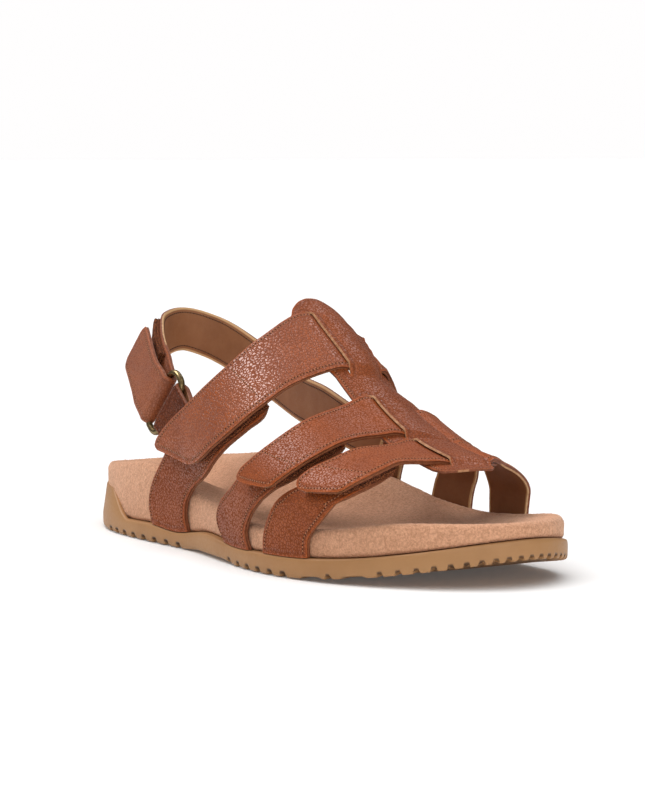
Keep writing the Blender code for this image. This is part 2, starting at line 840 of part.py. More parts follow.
def make_ring():
    """Wire bent into a rectangle with round corners, swept along its middle line."""
    curve = bpy.data.curves.new("ring", "CURVE")
    curve.dimensions = "3D"
    curve.bevel_depth = RING_WIRE / 2 * MM
    curve.bevel_resolution = 2
    reach_long = (RING_INSIDE + RING_WIRE) / 2 - RING_CORNER
    reach_short = RING_BAR_SPACING / 2 - RING_CORNER
    points = []
    for corner, (sign_long, sign_short) in enumerate(((1, 1), (1, -1), (-1, -1), (-1, 1))):
        for step in range(CORNER_ROWS + 1):
            angle = math.pi / 2 * (corner + step / CORNER_ROWS)
            along_long = sign_long * reach_long + RING_CORNER * math.sin(angle)
            along_short = sign_short * reach_short + RING_CORNER * math.cos(angle)
            points.append(np.array(RING_CENTRE) + LONG * along_long + SHORT * along_short)
    spline = curve.splines.new("POLY")
    spline.points.add(len(points) - 1)
    for spot, point in zip(spline.points, points):
        spot.co = (*metres(point), 1.0)
    spline.use_cyclic_u = True
    ring = bpy.data.objects.new("ring", curve)
    bpy.context.collection.objects.link(ring)
    curve.materials.append(material("antique_brass", (0.3, 0.22, 0.1), 0.4, 1.0))
    return ring


def clear_scene():
    for item in list(bpy.data.objects):
        bpy.data.objects.remove(item, do_unlink=True)


clear_scene()
make_outsole()
make_footbed()
make_upper()
make_strap_bases()
make_fasteners()
make_sling()
make_sling_fastener()
make_ring()
make_keeper()
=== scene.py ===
"""Looks of a strappy sandal, a right shoe: grained leather straps woven through a spine, a suede footbed,
a gum rubber sole and a heel sling with a brass ring.

Sizes are in millimetres in the frame of the part's own tables, and metres() turns them into the row frame.
+X points to the toe, +Y to the inner (arch) side and +Z up.
"""
import math

import bmesh
import bpy
import numpy as np
from mathutils import Matrix, Vector, noise


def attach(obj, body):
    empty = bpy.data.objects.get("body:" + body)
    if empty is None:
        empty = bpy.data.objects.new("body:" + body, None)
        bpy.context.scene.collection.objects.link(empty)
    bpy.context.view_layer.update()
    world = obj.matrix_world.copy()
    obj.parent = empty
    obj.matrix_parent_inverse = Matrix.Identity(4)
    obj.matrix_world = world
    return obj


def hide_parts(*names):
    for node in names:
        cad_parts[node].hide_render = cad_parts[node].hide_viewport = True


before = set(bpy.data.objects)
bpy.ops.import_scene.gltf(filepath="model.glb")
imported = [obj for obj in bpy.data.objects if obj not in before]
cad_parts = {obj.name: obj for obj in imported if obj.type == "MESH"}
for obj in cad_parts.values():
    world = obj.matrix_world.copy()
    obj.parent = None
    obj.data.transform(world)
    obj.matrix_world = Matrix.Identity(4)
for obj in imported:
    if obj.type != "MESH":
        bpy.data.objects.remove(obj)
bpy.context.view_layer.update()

MM = 0.001
PLACE = np.array((-4.0, 1.656, 0.0))


def table(columns, *rows):
    """A short table as a dictionary from column name to numbers."""
    return dict(zip(columns.split(), np.array(rows, float).T))


# Sole
LENGTH = 247.0
HEEL_X = -119.5
TOE_SPRING = 9.8
SPRING_START = 0.69
ARCH_LIFT = 1.0
WAIST_RANGE = (0.38, 0.59)
WAIST_RAMP = 0.06
HEEL_TAB_HEIGHT = 10.0
HEEL_TAB_RANGE = (0.122, 0.215)
HEEL_LEAN = 0.14
SOLE_POINTS = 1440
NOTCH_DEPTH = 7.0

PLAN = table(
    "station centre fullness",
    (0.00, 0.0, 63.3), (0.06, 0.1, 54.7), (0.15, 0.0, 48.2), (0.28, -2.3, 38.8), (0.40, -3.6, 34.5),
    (0.54, -2.5, 40.3), (0.67, 0.2, 49.2), (0.79, 2.3, 53.3), (0.92, 8.5, 58.6), (1.00, 10.6, 59.2),
)
FLANGE = table(
    "station height",
    (0.000, 7.0), (0.215, 6.4), (0.290, 6.7), (0.360, 5.6), (0.455, 8.0), (0.590, 6.6), (0.670, 7.1),
    (0.850, 6.9), (1.000, 7.1),
)

# Section of the outsole from its bed over the wall and under: inset, level, rise above it
BED, WALL, GROUND, NOTCHED = range(4)
OUTSOLE_SECTION = (
    (2.0, BED, 0.0), (1.75, WALL, -0.1), (1.45, WALL, 0.0), (0.75, WALL, 0.0), (0.4, WALL, -0.15),
    (0.2, WALL, -0.5), (0.0, BED, -1.6), (0.0, GROUND, 2.6), (0.05, NOTCHED, 1.3), (0.25, NOTCHED, 0.6),
    (0.6, NOTCHED, 0.2), (1.2, NOTCHED, 0.0), (3.2, NOTCHED, 0.0), (NOTCH_DEPTH, NOTCHED, 0.0),
    (NOTCH_DEPTH + 0.1, GROUND, 0.0),
)

# Notches in the lower edge by angle round the outline (0 toe, 180 heel, below 0 the outer side)
TREAD = table(
    "first last count width height",
    (-135.0, -104.5, 8, 3.6, 2.0), (-82.5, -64.0, 6, 3.4, 1.9), (-57.0, -47.0, 2, 10.0, 0.9),
    (-52.6, -51.4, 1, 2.6, 1.6), (-41.0, 41.0, 21, 2.5, 1.6), (52.0, 52.0, 1, 10.0, 0.9),
    (64.0, 82.5, 6, 3.4, 1.9), (104.5, 135.0, 8, 3.6, 2.0),
)

# Footbed
FOOTBED_INSET = 2.2
FOOTBED_POINTS = 900
FOOTBED = table(
    "station outer_rim inner_rim middle",
    (0.00, 23.6, 23.6, 18.0), (0.05, 24.7, 25.1, 16.5), (0.12, 26.2, 26.5, 16.0),
    (0.20, 28.6, 28.6, 16.2), (0.28, 29.2, 30.7, 17.0), (0.40, 22.0, 31.0, 18.5),
    (0.535, 17.4, 25.5, 17.5), (0.62, 15.8, 19.2, 14.6), (0.71, 16.5, 17.0, 13.6),
    (0.795, 18.2, 18.3, 15.2), (0.90, 21.9, 21.0, 18.6), (1.00, 22.5, 22.5, 21.2),
)
FOOTBED_TOE = 1.0
FOOTBED_TOE_RANGE = (0.8, 1.0)
SEAT_GAP = 0.1
SEAT, RIM = range(2)
FOOTBED_SECTION = (
    (2.0, SEAT, 0.0), (0.7, SEAT, 0.25), (0.15, SEAT, 1.0), (0.0, SEAT, 1.6), (0.0, RIM, -2.8),
    (0.15, RIM, -1.9), (0.6, RIM, -0.95), (1.3, RIM, -0.3), (2.4, RIM, 0.0), (3.6, RIM, -0.2),
    (5.0, RIM, -0.8),
)
DISH_SHARES = (0.05, 0.1, 0.16, 0.22, 0.28, 0.36, 0.45, 0.55, 0.66, 0.78, 0.9, 1.0)
DISH_STEEPNESS = 1.05
MIDDLE_LINE = (0.11, 0.86)
NAP_ROUGHNESS = 0.2
NAP_SIZE = 0.9

# Last: crest line of the instep and the height where its side wall turns in
CREST = table(
    "x y z",
    (-127.5, 3.0, 110.0), (-60.0, 3.7, 102.0), (-30.0, 4.4, 97.5), (0.0, 6.0, 88.5), (12.5, 6.8, 80.5),
    (25.5, 7.7, 72.0), (38.0, 8.3, 63.0), (51.0, 8.8, 54.5), (64.0, 9.2, 48.0), (76.5, 9.6, 43.2),
    (89.0, 10.0, 39.8), (102.0, 10.4, 36.8), (127.5, 11.0, 30.0),
)
SHOULDER = table(
    "station outer inner",
    (0.00, 34.0, 34.0), (0.28, 36.0, 36.0), (0.43, 32.0, 32.0), (0.62, 26.0, 26.0), (0.795, 27.0, 25.0),
    (1.00, 33.0, 33.0),
)
STRAP_INSET = 2.0
CLEARANCE = 0.3
WALL_SHARE = 0.28
WALL_BULGE = 1.0
OUTER_ROUNDNESS = 1.8
INNER_ROUNDNESS = 1.58
CREST_SOFTENING = 0.09
SOFT_RANGE = (0.25, 0.55)

# Straps: thickness, and heights of the layers over the last
STRAP = 1.7
LINING_LAYER = 0.6
SLING_LINING = 0.95
SPINE_LEATHER = 0.8
LEG = 1.8
LOOP_TAPE = 1.45
HOOK_TAPE = 1.4
LAYER_GAP = 0.05
LOOP_LIFT = LEG + LAYER_GAP
HOOK_LIFT = LOOP_LIFT + LOOP_TAPE + LAYER_GAP
OVER_LIFT = HOOK_LIFT + HOOK_TAPE + LAYER_GAP
SPINE_LIFT = table(
    "x outer inner",
    (-6.0, 1.2, 5.6), (4.0, 1.1, 3.9), (7.5, 1.0, 3.2), (12.0, 0.9, 1.3), (16.0, 0.8, 0.5),
    (20.0, 0.7, -0.4), (30.0, 0.4, -2.2), (40.0, 0.2, -1.1), (50.0, 0.0, -1.7), (70.0, 0.0, -1.0),
    (92.0, 0.7, 0.0), (104.0, 1.6, 0.8),
)
SPINE_LIFT_SPAN = (4.0, 18.0)
MARGIN_LIFT = SPINE_LEATHER + LAYER_GAP
UNDER_LIFT = -0.5
SLIT_REACH = 3.6
TAPE_INSET = 1.0

# Cut edges: the inner side where a lining's is bare, the first bare material, the turn and the rounding
RAW_EDGE_Y = 28.0
RAW_FROM = 3
EDGE_TURN = 0.35
EDGE_TURN_WIDTH = 1.8
LEATHER_ROUNDING = 0.4
TAPE_ROUNDING = 0.3
SPINE_ROUNDING = 0.3
LINING_ROUNDING = 0.15
RAW_EDGE_WIDTH = 1.3

# Colours of bare leather, and of the painted shade deep in the tread's notches
RAW_TAN = (0.6, 0.36, 0.17)
RECESS_SHADE = (0.06, 0.03, 0.015)

# Girth where a cross strap leaves its tape, where its weave starts and where it comes down to the last
TAPE_LEAVE = 0.06
WEAVE_START = -0.14
INNER_FALL = (0.18, 0.36)
TAPE_GAPS = (0.022, 0.02)

# Rows and columns of the sheets, and how far the rows crowd towards a strap's tip
OVER_CELLS = (220, 36)
OVER_CROWDING = 0.6
LEG_CELLS = (120, 34)
LEG_CROWDING = 0.5
TAPE_CELLS = (90, 30)
SPINE_CELLS = (260, 64)
SLING_COLUMNS = 28
SLING_TAPE_COLUMNS = 20
KEEPER_COLUMNS = 24

# Points inside the shoe, in metres, that the sheets face away from
SHOE_INSIDE = Vector((0.0, 0.0, 0.02))
SPINE_INSIDE = Vector((0.04, 0.0, 0.02))

# Cross straps by girth: -1 is the outer foot, 0 the crest and 1 the inner foot
STRAPS = {
    "instep": {
        "tape_end": -0.37,
        "sewn_across": -0.395,
        "over": table(
            "girth back front",
            (-0.702, -33.5, -8.0), (-0.695, -35.0, -4.8), (-0.68, -35.0, -0.3), (-0.65, -32.0, 5.5),
            (-0.62, -28.0, 9.5), (-0.53, -13.4, 20.0), (-0.42, -1.4, 26.5), (-0.28, 2.2, 27.7),
            (-0.10, 2.4, 29.3), (0.00, 5.0, 31.0), (0.09, 10.5, 29.5), (0.19, 9.0, 25.5),
            (0.33, 3.5, 21.5), (0.55, -5.0, 15.5), (0.75, -10.5, 11.5), (1.00, -13.5, 8.5),
        ),
        "leg": table(
            "girth back front",
            (-1.00, -47.2, -20.4), (-0.94, -49.0, -22.2), (-0.88, -47.8, -20.5), (-0.82, -44.0, -14.5),
            (-0.76, -38.9, -5.5), (-0.68, -32.5, 3.2), (-0.60, -24.5, 12.0), (-0.50, -9.0, 21.6),
            (-0.41, -0.5, 25.8), (-0.385, 3.0, 24.3),
        ),
    },
    "mid": {
        "tape_end": -0.31,
        "sewn_across": -0.52,
        "over": table(
            "girth back front",
            (-0.652, 37.4, 53.0), (-0.645, 36.2, 55.2), (-0.62, 36.0, 57.6), (-0.56, 39.8, 61.0),
            (-0.47, 43.8, 63.8), (-0.39, 45.2, 64.8), (-0.20, 44.6, 63.8), (-0.09, 43.0, 65.0),
            (0.00, 46.0, 68.5), (0.09, 48.0, 71.0), (0.19, 47.0, 70.0), (0.33, 41.5, 63.0),
            (0.55, 32.5, 51.0), (0.75, 27.3, 45.0), (1.00, 25.0, 43.8),
        ),
        "leg": table(
            "girth back front",
            (-1.00, 14.7, 36.3), (-0.92, 9.0, 34.0), (-0.82, 12.0, 38.2), (-0.70, 23.6, 47.8),
            (-0.64, 29.5, 52.5), (-0.58, 36.0, 57.5), (-0.50, 41.0, 61.5), (-0.40, 44.5, 63.0),
            (-0.33, 45.5, 63.0), (-0.30, 48.0, 61.5),
        ),
    },
    "fore": {
        "tape_end": -0.32,
        "sewn_across": -0.50,
        "over": table(
            "girth back front",
            (-0.656, 73.0, 84.6), (-0.648, 70.4, 86.0), (-0.63, 68.2, 87.2), (-0.60, 66.8, 88.6),
            (-0.54, 67.5, 90.5), (-0.43, 71.0, 91.5), (-0.34, 71.2, 90.6), (-0.20, 71.2, 91.0),
            (-0.09, 69.7, 92.4), (0.00, 71.0, 93.0), (0.09, 71.5, 93.0), (0.19, 70.0, 91.0),
            (0.33, 64.0, 86.5), (0.55, 55.4, 82.0), (0.75, 54.8, 79.2), (1.00, 56.0, 78.0),
        ),
        "leg": table(
            "girth back front",
            (-1.00, 46.0, 69.5), (-0.90, 47.2, 70.4), (-0.79, 51.0, 77.2), (-0.65, 59.3, 85.6),
            (-0.58, 65.0, 88.0), (-0.44, 71.2, 89.5), (-0.33, 72.5, 87.5),
        ),
    },
}

# Spine: straight sides, a round back end and a blunt front end, slit on both sides of its centre band
SPINE_OUTER_Y = -7.4
SPINE_INNER_Y = 25.2
SLIT_OUTER_Y = 0.5
SLIT_INNER_Y = 17.4
SLIT_MARGIN = (1.0, 2.6)
SLIT_RAMP = (4.0, 5.0)
SLIT_OPENING = 0.35
SLIT_LIP = 0.2
SLIT_BOW = 1.4
SLIT_BOW_REACH = 7.0
INNER_SWELL = 0.7
INNER_SWELL_SPAN = (0.0, 3.5, 7.0, 15.0)
SLIT_EDGE_REACH = 2.0
SPINE_WAIST = 2.0
SPINE_WAIST_SPAN = (22.0, 32.0, 42.0, 50.0)
BAND_CROWN = 0.6
SLIT_START = 0.03
SLIT_LEAD = 0.2
ON_LINE = 0.01
SPINE_ENDS = table(
    "y back front",
    (-7.4, 10.0, 95.0), (-6.6, 5.0, 98.0), (-4.0, 0.0, 100.0), (0.5, -3.6, 101.4), (5.0, -5.4, 102.2),
    (8.5, -6.2, 102.4), (12.5, -7.0, 101.6), (14.6, -7.2, 99.0), (16.5, -7.2, 95.0), (20.0, -6.6, 91.0),
    (22.8, -4.6, 89.5), (24.4, -2.0, 88.4), (25.2, 2.0, 87.0),
)

# Heel sling, ring and keeper
SLING = table(
    "x y z width",
    (8.0, 30.8, 37.4, 13.0), (0.0, 28.8, 40.4, 15.0), (-13.0, 27.6, 44.4, 17.0),
    (-28.0, 28.0, 48.6, 17.6), (-45.0, 29.4, 51.2, 17.8), (-64.0, 29.8, 57.0, 17.0),
    (-81.0, 27.0, 65.0, 17.0), (-92.5, 17.5, 73.0, 17.0), (-95.5, 6.6, 76.5, 17.0),
    (-90.5, -4.8, 75.3, 17.0), (-81.0, -13.4, 70.8, 17.0), (-69.0, -21.3, 64.2, 17.0),
    (-59.0, -26.2, 58.6, 17.0),
)
SLING_WIDTH = 17.0
SLING_LEATHER = 1.8
TAB_LENGTH = 35.5
FOLD_SPREAD = 4.4
FOLD_SHIFT = -1.6
TAB_WAIST = 2.4
TAB_SPREAD = 3.0
TAB_CORNER = 3.0
TAB_SQUARENESS = 0.7
SLING_STITCH_INSET = 1.9
TAB_HEADING = (-0.82, 0.30, 0.49)
TAB_BULGE = 1.6
TAB_BULGE_SHARE = 0.3
FOLD_SPREAD_ROWS = 18
LINING_STOP_ROWS = 12
SLING_SEAM_ROWS = (4, 8)
TAB_SEAM_ROWS = (3, 2)
SLING_TAPE_START = 0.78
SLING_TAPE_STOP_ROWS = 5
LOOP_RISE = 0.1
LOOP_THICKNESS = 1.2
HOOK_RISE = 1.4
HOOK_THICKNESS = 1.3
KEEPER_LENGTH = 18.0
KEEPER_WIDTH = 20.4
KEEPER_SHIFT = 1.4
KEEPER_REACH_OUT = 0.7
TWIST_RANGE = (0.75, 0.97)
RING_CENTRE = np.array((-46.7, -30.9, 52.5))
RING_LONG = (0.57, 0.16, 0.81)
RING_SHORT = (0.82, -0.05, -0.57)
RING_INSIDE = 22.4
RING_CORNER = 4.2
RING_BAR_SPACING = 10.2
RING_WIRE = 2.5
RING_SEGMENTS = 20
CORNER_STEPS = 10
SOLE_MERGE = 0.01
RING_MERGE = 0.02

# Sewing
STITCH_PITCH = 1.35
STITCH_SIZE = (0.95, 0.5, 0.45)
HOLE_SHADE_SIZE = (0.55, 0.6, 0.4)
STITCH_INSET = 1.7
STITCH_SINK = 0.05
TIP_SEAM = 0.018
TIP_SEAM_SPAN = (0.12, 0.88)
OVER_SEAM_SPAN = (0.02, 0.97)
LEG_SEAM_SPAN = (0.05, 0.98)

# Camera of the photograph, its target in the tables' frame
CAMERA_AZIMUTH = 57.0
CAMERA_ELEVATION = 4.914
CAMERA_DISTANCE = 1100.0
CAMERA_TARGET = (1.149, 8.602, 53.729)
CAMERA_LENS = 132.65

# Studio: the sky's light on the shoe and its brightness in the picture, and the floor
SKY_LIGHT = 0.2
SKY_SEEN = 1.0
FLOOR_GLOW = 0.06
FLOOR_METRES = 30.0
FLOOR_DROP = 0.3


# Curves and places


def smooth_curve(where, xs, ys):
    """Smooth interpolation through a table's points, straight on past its ends."""
    where = np.asarray(where, float)
    spans = np.diff(xs)
    steps = np.diff(ys) / spans
    slopes = np.empty(len(xs))
    slopes[0] = steps[0]
    slopes[-1] = steps[-1]
    slopes[1:-1] = (steps[:-1] * spans[1:] + steps[1:] * spans[:-1]) / (spans[1:] + spans[:-1])
    at = np.clip(where, xs[0], xs[-1])
    cell = np.clip(np.searchsorted(xs, at, side="right") - 1, 0, len(xs) - 2)
    h = spans[cell]
    t = (at - xs[cell]) / h
    value = (2 * t**3 - 3 * t**2 + 1) * ys[cell] + (t**3 - 2 * t**2 + t) * h * slopes[cell]
    value = value + (3 * t**2 - 2 * t**3) * ys[cell + 1] + (t**3 - t**2) * h * slopes[cell + 1]
    return value + (where - at) * np.where(where < at, slopes[0], slopes[-1])


def follow(rows, column, where):
    """A table's column at values of the table's first column."""
    return smooth_curve(where, next(iter(rows.values())), rows[column])


def ease(share):
    t = np.clip(share, 0.0, 1.0)
    return t * t * (3.0 - 2.0 * t)


def eased_between(value, start, end):
    """0 up to start, 1 from end on, eased between them."""
    return ease((value - start) / (end - start))


def eased_steps(where, xs, ys):
    """Level at each point of xs, with an eased ramp between one and the next."""
    xs, ys = np.array(xs), np.array(ys)
    at = np.clip(where, xs[0], xs[-1])
    cell = np.clip(np.searchsorted(xs, at, side="right") - 1, 0, len(xs) - 2)
    t = (at - xs[cell]) / (xs[cell + 1] - xs[cell])
    return ys[cell] + (ys[cell + 1] - ys[cell]) * ease(t)


def unit(vectors):
    vectors = np.asarray(vectors, float)
    return vectors / np.linalg.norm(vectors, axis=-1, keepdims=True)


def inside_slits(y):
    """Distance of plan points inside the spine's slits, below 0 on its margins."""
    return np.minimum(y - SLIT_OUTER_Y, SLIT_INNER_Y - y)


def path_travel(points):
    """Distance along a path at each of its points."""
    return np.concatenate([[0.0], np.cumsum(np.linalg.norm(np.diff(points, axis=0), axis=1))])


def metres(points):
    return (np.asarray(points, float) + PLACE) * MM


# Sole and last


def spring(station):
    toe = np.clip((station - SPRING_START) / (1.0 - SPRING_START), 0.0, 1.0)
    return TOE_SPRING * toe**2


def underside(station):
    first, last = WAIST_RANGE
    waist = ease((station - first) / WAIST_RAMP) * ease((last - station) / WAIST_RAMP)
    return spring(station) + ARCH_LIFT * waist


def flange_top(station):
    return spring(station) + follow(FLANGE, "height", station)


def wall_top(station):
    return flange_top(station) + HEEL_TAB_HEIGHT * (1.0 - eased_between(station, *HEEL_TAB_RANGE))


def station_at(angles):
    return 0.5 + 0.5 * np.cos(angles)


def outline(angle):
    """Plan outline of the sole at an array of angles."""
    station = station_at(angle)
    y = follow(PLAN, "centre", station) + follow(PLAN, "fullness", station) * np.sin(angle)
    return np.stack([HEEL_X + LENGTH * station, y], axis=-1)


def inset_outline(angle, inset):
    step = 0.01
    along = unit(outline(angle + step) - outline(angle - step))
    inward = np.stack([-along[..., 1], along[..., 0]], axis=-1)
    return outline(angle) + inward * inset


def last_side(x, side):
    """Y where a side of the last stands on the sole, and the power of its curve up to the crest."""
    station = (x - HEEL_X) / LENGTH
    round_off = 2.0 * np.sqrt(np.clip(station * (1.0 - station), 0.0, None))
    half_width = follow(PLAN, "fullness", station) * round_off
    edge = follow(PLAN, "centre", station) + side * (half_width - STRAP_INSET)
    return edge, np.where(side < 0.0, 2.0 / OUTER_ROUNDNESS, 2.0 / INNER_ROUNDNESS)


def last_section(x, girth):
    """Points of the last at arrays of x and girth."""
    station = (x - HEEL_X) / LENGTH
    side = np.where(girth < 0.0, -1.0, 1.0)
    rise = 1.0 - np.abs(girth)
    edge, power = last_side(x, side)
    foot = flange_top(station) + CLEARANCE
    crest_y = follow(CREST, "y", x)
    crest_z = follow(CREST, "z", x)
    outer, inner = (follow(SHOULDER, column, station) for column in ("outer", "inner"))
    shoulder = np.where(side < 0.0, outer, inner)
    climb = np.clip(rise / WALL_SHARE, 0.0, 1.0)
    turn = np.clip((rise - WALL_SHARE) / (1.0 - WALL_SHARE), 0.0, 1.0) * math.pi / 2
    reach = edge + side * WALL_BULGE - crest_y
    top_y = crest_y + reach * np.clip(np.cos(turn), 0.0, None) ** power
    top_z = shoulder + (crest_z - shoulder) * np.sin(turn) ** power
    wall_y = edge + side * WALL_BULGE * np.sin(climb * math.pi / 2)
    wall_z = foot + (shoulder - foot) * climb
    on_wall = rise < WALL_SHARE
    return np.stack([x, np.where(on_wall, wall_y, top_y), np.where(on_wall, wall_z, top_z)], axis=-1)


def last_surface(x, girth):
    """The section with its crest rounded off."""
    girth = np.clip(girth, -1.0, 1.0)
    reach = CREST_SOFTENING * (1.0 - eased_between(np.abs(girth), *SOFT_RANGE))
    sides = last_section(x, girth - reach) + last_section(x, girth + reach)
    return 0.25 * sides + 0.5 * last_section(x, girth)


def last_point(x, girth, lift):
    """Points lifted off the last, square to its surface."""
    step = 0.02
    low = np.clip(girth - step, -1.0, 1.0)
    high = np.clip(girth + step, -1.0, 1.0)
    across = last_surface(x, high) - last_surface(x, low)
    along = last_surface(x + 1.0, girth) - last_surface(x - 1.0, girth)
    normal = unit(np.cross(along, across))
    return last_surface(x, girth) + normal * np.asarray(lift)[..., None]


def girth_at(x, y):
    """Girth of the points of the last above plan points (x, y), near the crest."""
    crest_y = follow(CREST, "y", x)
    side = np.where(y < crest_y, -1.0, 1.0)
    edge, power = last_side(x, side)
    share = np.clip((y - crest_y) / (edge + side * WALL_BULGE - crest_y), 0.0, 1.0)
    turn = np.arccos(share ** (1.0 / power))
    rise = WALL_SHARE + (1.0 - WALL_SHARE) * turn / (math.pi / 2)
    return side * (1.0 - rise)


# Shader groups and materials


def node(tree, kind, links=None, **settings):
    """A node with its settings, and its inputs linked or set."""
    made = tree.nodes.new(kind)
    for key, value in settings.items():
        setattr(made, key, value)
    for socket, value in (links or {}).items():
        if isinstance(value, bpy.types.NodeSocket):
            tree.links.new(value, made.inputs[socket])
        else:
            made.inputs[socket].default_value = value
    return made


def arithmetic(tree, operation, first, second=0.0, clamp=False):
    made = node(tree, "ShaderNodeMath", {0: first, 1: second}, operation=operation, use_clamp=clamp)
    return made.outputs[0]


def ramp(tree, value, low, high, to_low=0.0, to_high=1.0):
    """Value eased from one range to another."""
    links = {"Value": value, "From Min": low, "From Max": high, "To Min": to_low, "To Max": to_high}
    return node(tree, "ShaderNodeMapRange", links, interpolation_type="SMOOTHSTEP").outputs[0]


def opaque(colour):
    return (*colour, 1.0)


def noise_texture(tree, place, scale, detail, **sockets):
    links = {"Vector": place, "Scale": scale, "Detail": detail, **sockets}
    return node(tree, "ShaderNodeTexNoise", links).outputs


def blend_colours(tree, share, first, second):
    links = {"Factor": share, 6: first, 7: second}
    return node(tree, "ShaderNodeMix", links, data_type="RGBA").outputs[2]


def shader_group(name, inputs, outputs):
    """An empty group with its named sockets, its inputs and its outputs."""
    tree = bpy.data.node_groups.new(name, "ShaderNodeTree")
    for label, kind, value in inputs:
        socket = tree.interface.new_socket(label, in_out="INPUT", socket_type="NodeSocket" + kind)
        if value is not None:
            socket.default_value = value
    for label, kind in outputs:
        tree.interface.new_socket(label, in_out="OUTPUT", socket_type="NodeSocket" + kind)
    enter = tree.nodes.new("NodeGroupInput")
    leave = tree.nodes.new("NodeGroupOutput")
    return tree, enter.outputs, leave.inputs


def pebble_grain_group():
    """Leather's pebbles: their height, and the creases between them."""
    tree, given, result = shader_group(
        "pebble_grain",
        [
            ("Vector", "Vector", None),
            ("Pebbles per Metre", "Float", 700.0),
            ("Wrinkle", "Float", 0.2),
            ("Dome", "Float", 0.35),
            ("Tilt", "Float", 1.2),
            ("Crease Width", "Float", 0.17),
        ],
        [("Height", "Float"), ("Crease", "Float")],
    )
    links = {0: given["Vector"], "Scale": given["Pebbles per Metre"]}
    scaled = node(tree, "ShaderNodeVectorMath", links, operation="SCALE").outputs[0]
    warp = {0: noise_texture(tree, scaled, 0.9, 0.0)["Color"], 1: (0.6, 0.6, 0.6), 2: scaled}
    warped = node(tree, "ShaderNodeVectorMath", warp, operation="MULTIPLY_ADD").outputs[0]
    cells = node(tree, "ShaderNodeTexVoronoi", {"Vector": warped, "Scale": 1.0}, feature="DISTANCE_TO_EDGE")
    crease = ramp(tree, cells.outputs["Distance"], given["Crease Width"], 0.03)
    dome = ramp(tree, cells.outputs["Distance"], 0.0, 0.5)
    tilted = arithmetic(tree, "MULTIPLY", noise_texture(tree, scaled, 0.8, 1.0)["Fac"], given["Tilt"])
    wrinkle = arithmetic(tree, "MULTIPLY", noise_texture(tree, scaled, 3.5, 2.0)["Fac"], given["Wrinkle"])
    top = arithmetic(tree, "ADD", arithmetic(tree, "MULTIPLY", dome, given["Dome"]), wrinkle)
    top = arithmetic(tree, "SUBTRACT", top, crease)
    tree.links.new(arithmetic(tree, "ADD", top, tilted), result["Height"])
    tree.links.new(crease, result["Crease"])
    return tree


def mottle_group():
    """Slow change between two colours, as in dyed leather, suede and rubber."""
    tree, given, result = shader_group(
        "mottle",
        [
            ("Vector", "Vector", None),
            ("Patches per Metre", "Float", 60.0),
            ("Light", "Color", None),
            ("Deep", "Color", None),
        ],
        [("Color", "Color"), ("Patch", "Float")],
    )
    patches = noise_texture(tree, given["Vector"], given["Patches per Metre"], 4.0, Roughness=0.6)
    share = ramp(tree, patches["Fac"], 0.3, 0.7)
    tree.links.new(blend_colours(tree, share, given["Light"], given["Deep"]), result["Color"])
    tree.links.new(share, result["Patch"])
    return tree


def strap_edge_group():
    """Masks from the distance to a strap's cut edge: the worn edge, and the groove that the sewing pulls."""
    tree, given, result = shader_group(
        "strap_edge",
        [("Edge Distance", "Float", 10.0), ("Worn Width", "Float", 0.9), ("Sewn At", "Float", STITCH_INSET)],
        [("Worn", "Float"), ("Groove", "Float")],
    )
    tree.links.new(ramp(tree, given["Edge Distance"], given["Worn Width"], 0.0), result["Worn"])
    away = arithmetic(tree, "SUBTRACT", given["Edge Distance"], given["Sewn At"])
    away = arithmetic(tree, "ABSOLUTE", away)
    tree.links.new(ramp(tree, away, 0.9, 0.1), result["Groove"])
    return tree


def suede_nap_group():
    """Suede's short fibres: their height, and the light and dark of brushed patches."""
    tree, given, result = shader_group(
        "suede_nap",
        [("Vector", "Vector", None), ("Fibres per Metre", "Float", 1500.0)],
        [("Height", "Float"), ("Tone", "Float")],
    )
    fibres = noise_texture(tree, given["Vector"], given["Fibres per Metre"], 3.0, Roughness=0.7)["Fac"]
    tufts = noise_texture(tree, given["Vector"], 850.0, 3.0)["Fac"]
    brushed = noise_texture(tree, given["Vector"], 45.0, 3.0, Distortion=0.6)["Fac"]
    height = arithmetic(tree, "MULTIPLY", fibres, 0.6)
    tree.links.new(arithmetic(tree, "ADD", height, tufts), result["Height"])
    speckle = ramp(tree, fibres, 0.35, 0.65, 0.0, 0.62)
    tuft_tone = ramp(tree, tufts, 0.35, 0.65, 0.0, 0.34)
    patch = ramp(tree, brushed, 0.35, 0.65, 0.0, 0.18)
    tone = arithmetic(tree, "ADD", arithmetic(tree, "ADD", speckle, tuft_tone), patch, clamp=True)
    tree.links.new(tone, result["Tone"])
    return tree


GROUPS = {
    "pebble_grain": pebble_grain_group(),
    "mottle": mottle_group(),
    "strap_edge": strap_edge_group(),
    "suede_nap": suede_nap_group(),
}


def use_group(tree, name, links):
    return node(tree, "ShaderNodeGroup", links, node_tree=GROUPS[name]).outputs


def two_tones(tree, place, patches, light, deep):
    links = {"Vector": place, "Patches per Metre": patches, "Light": opaque(light), "Deep": opaque(deep)}
    return use_group(tree, "mottle", links)


def edge_masks(tree, worn_width=0.9):
    distance = node(tree, "ShaderNodeAttribute", attribute_name="edge_mm").outputs["Fac"]
    return use_group(tree, "strap_edge", {"Edge Distance": distance, "Worn Width": worn_width})


def new_finish(name, **sockets):
    """A material with its tree, its shader and its object coordinates."""
    finish = bpy.data.materials.new(name)
    finish.use_nodes = True
    tree = finish.node_tree
    shader = tree.nodes["Principled BSDF"]
    for socket, value in sockets.items():
        shader.inputs[socket.replace("_", " ")].default_value = value
    place = tree.nodes.new("ShaderNodeTexCoord").outputs["Object"]
    return finish, tree, shader, place


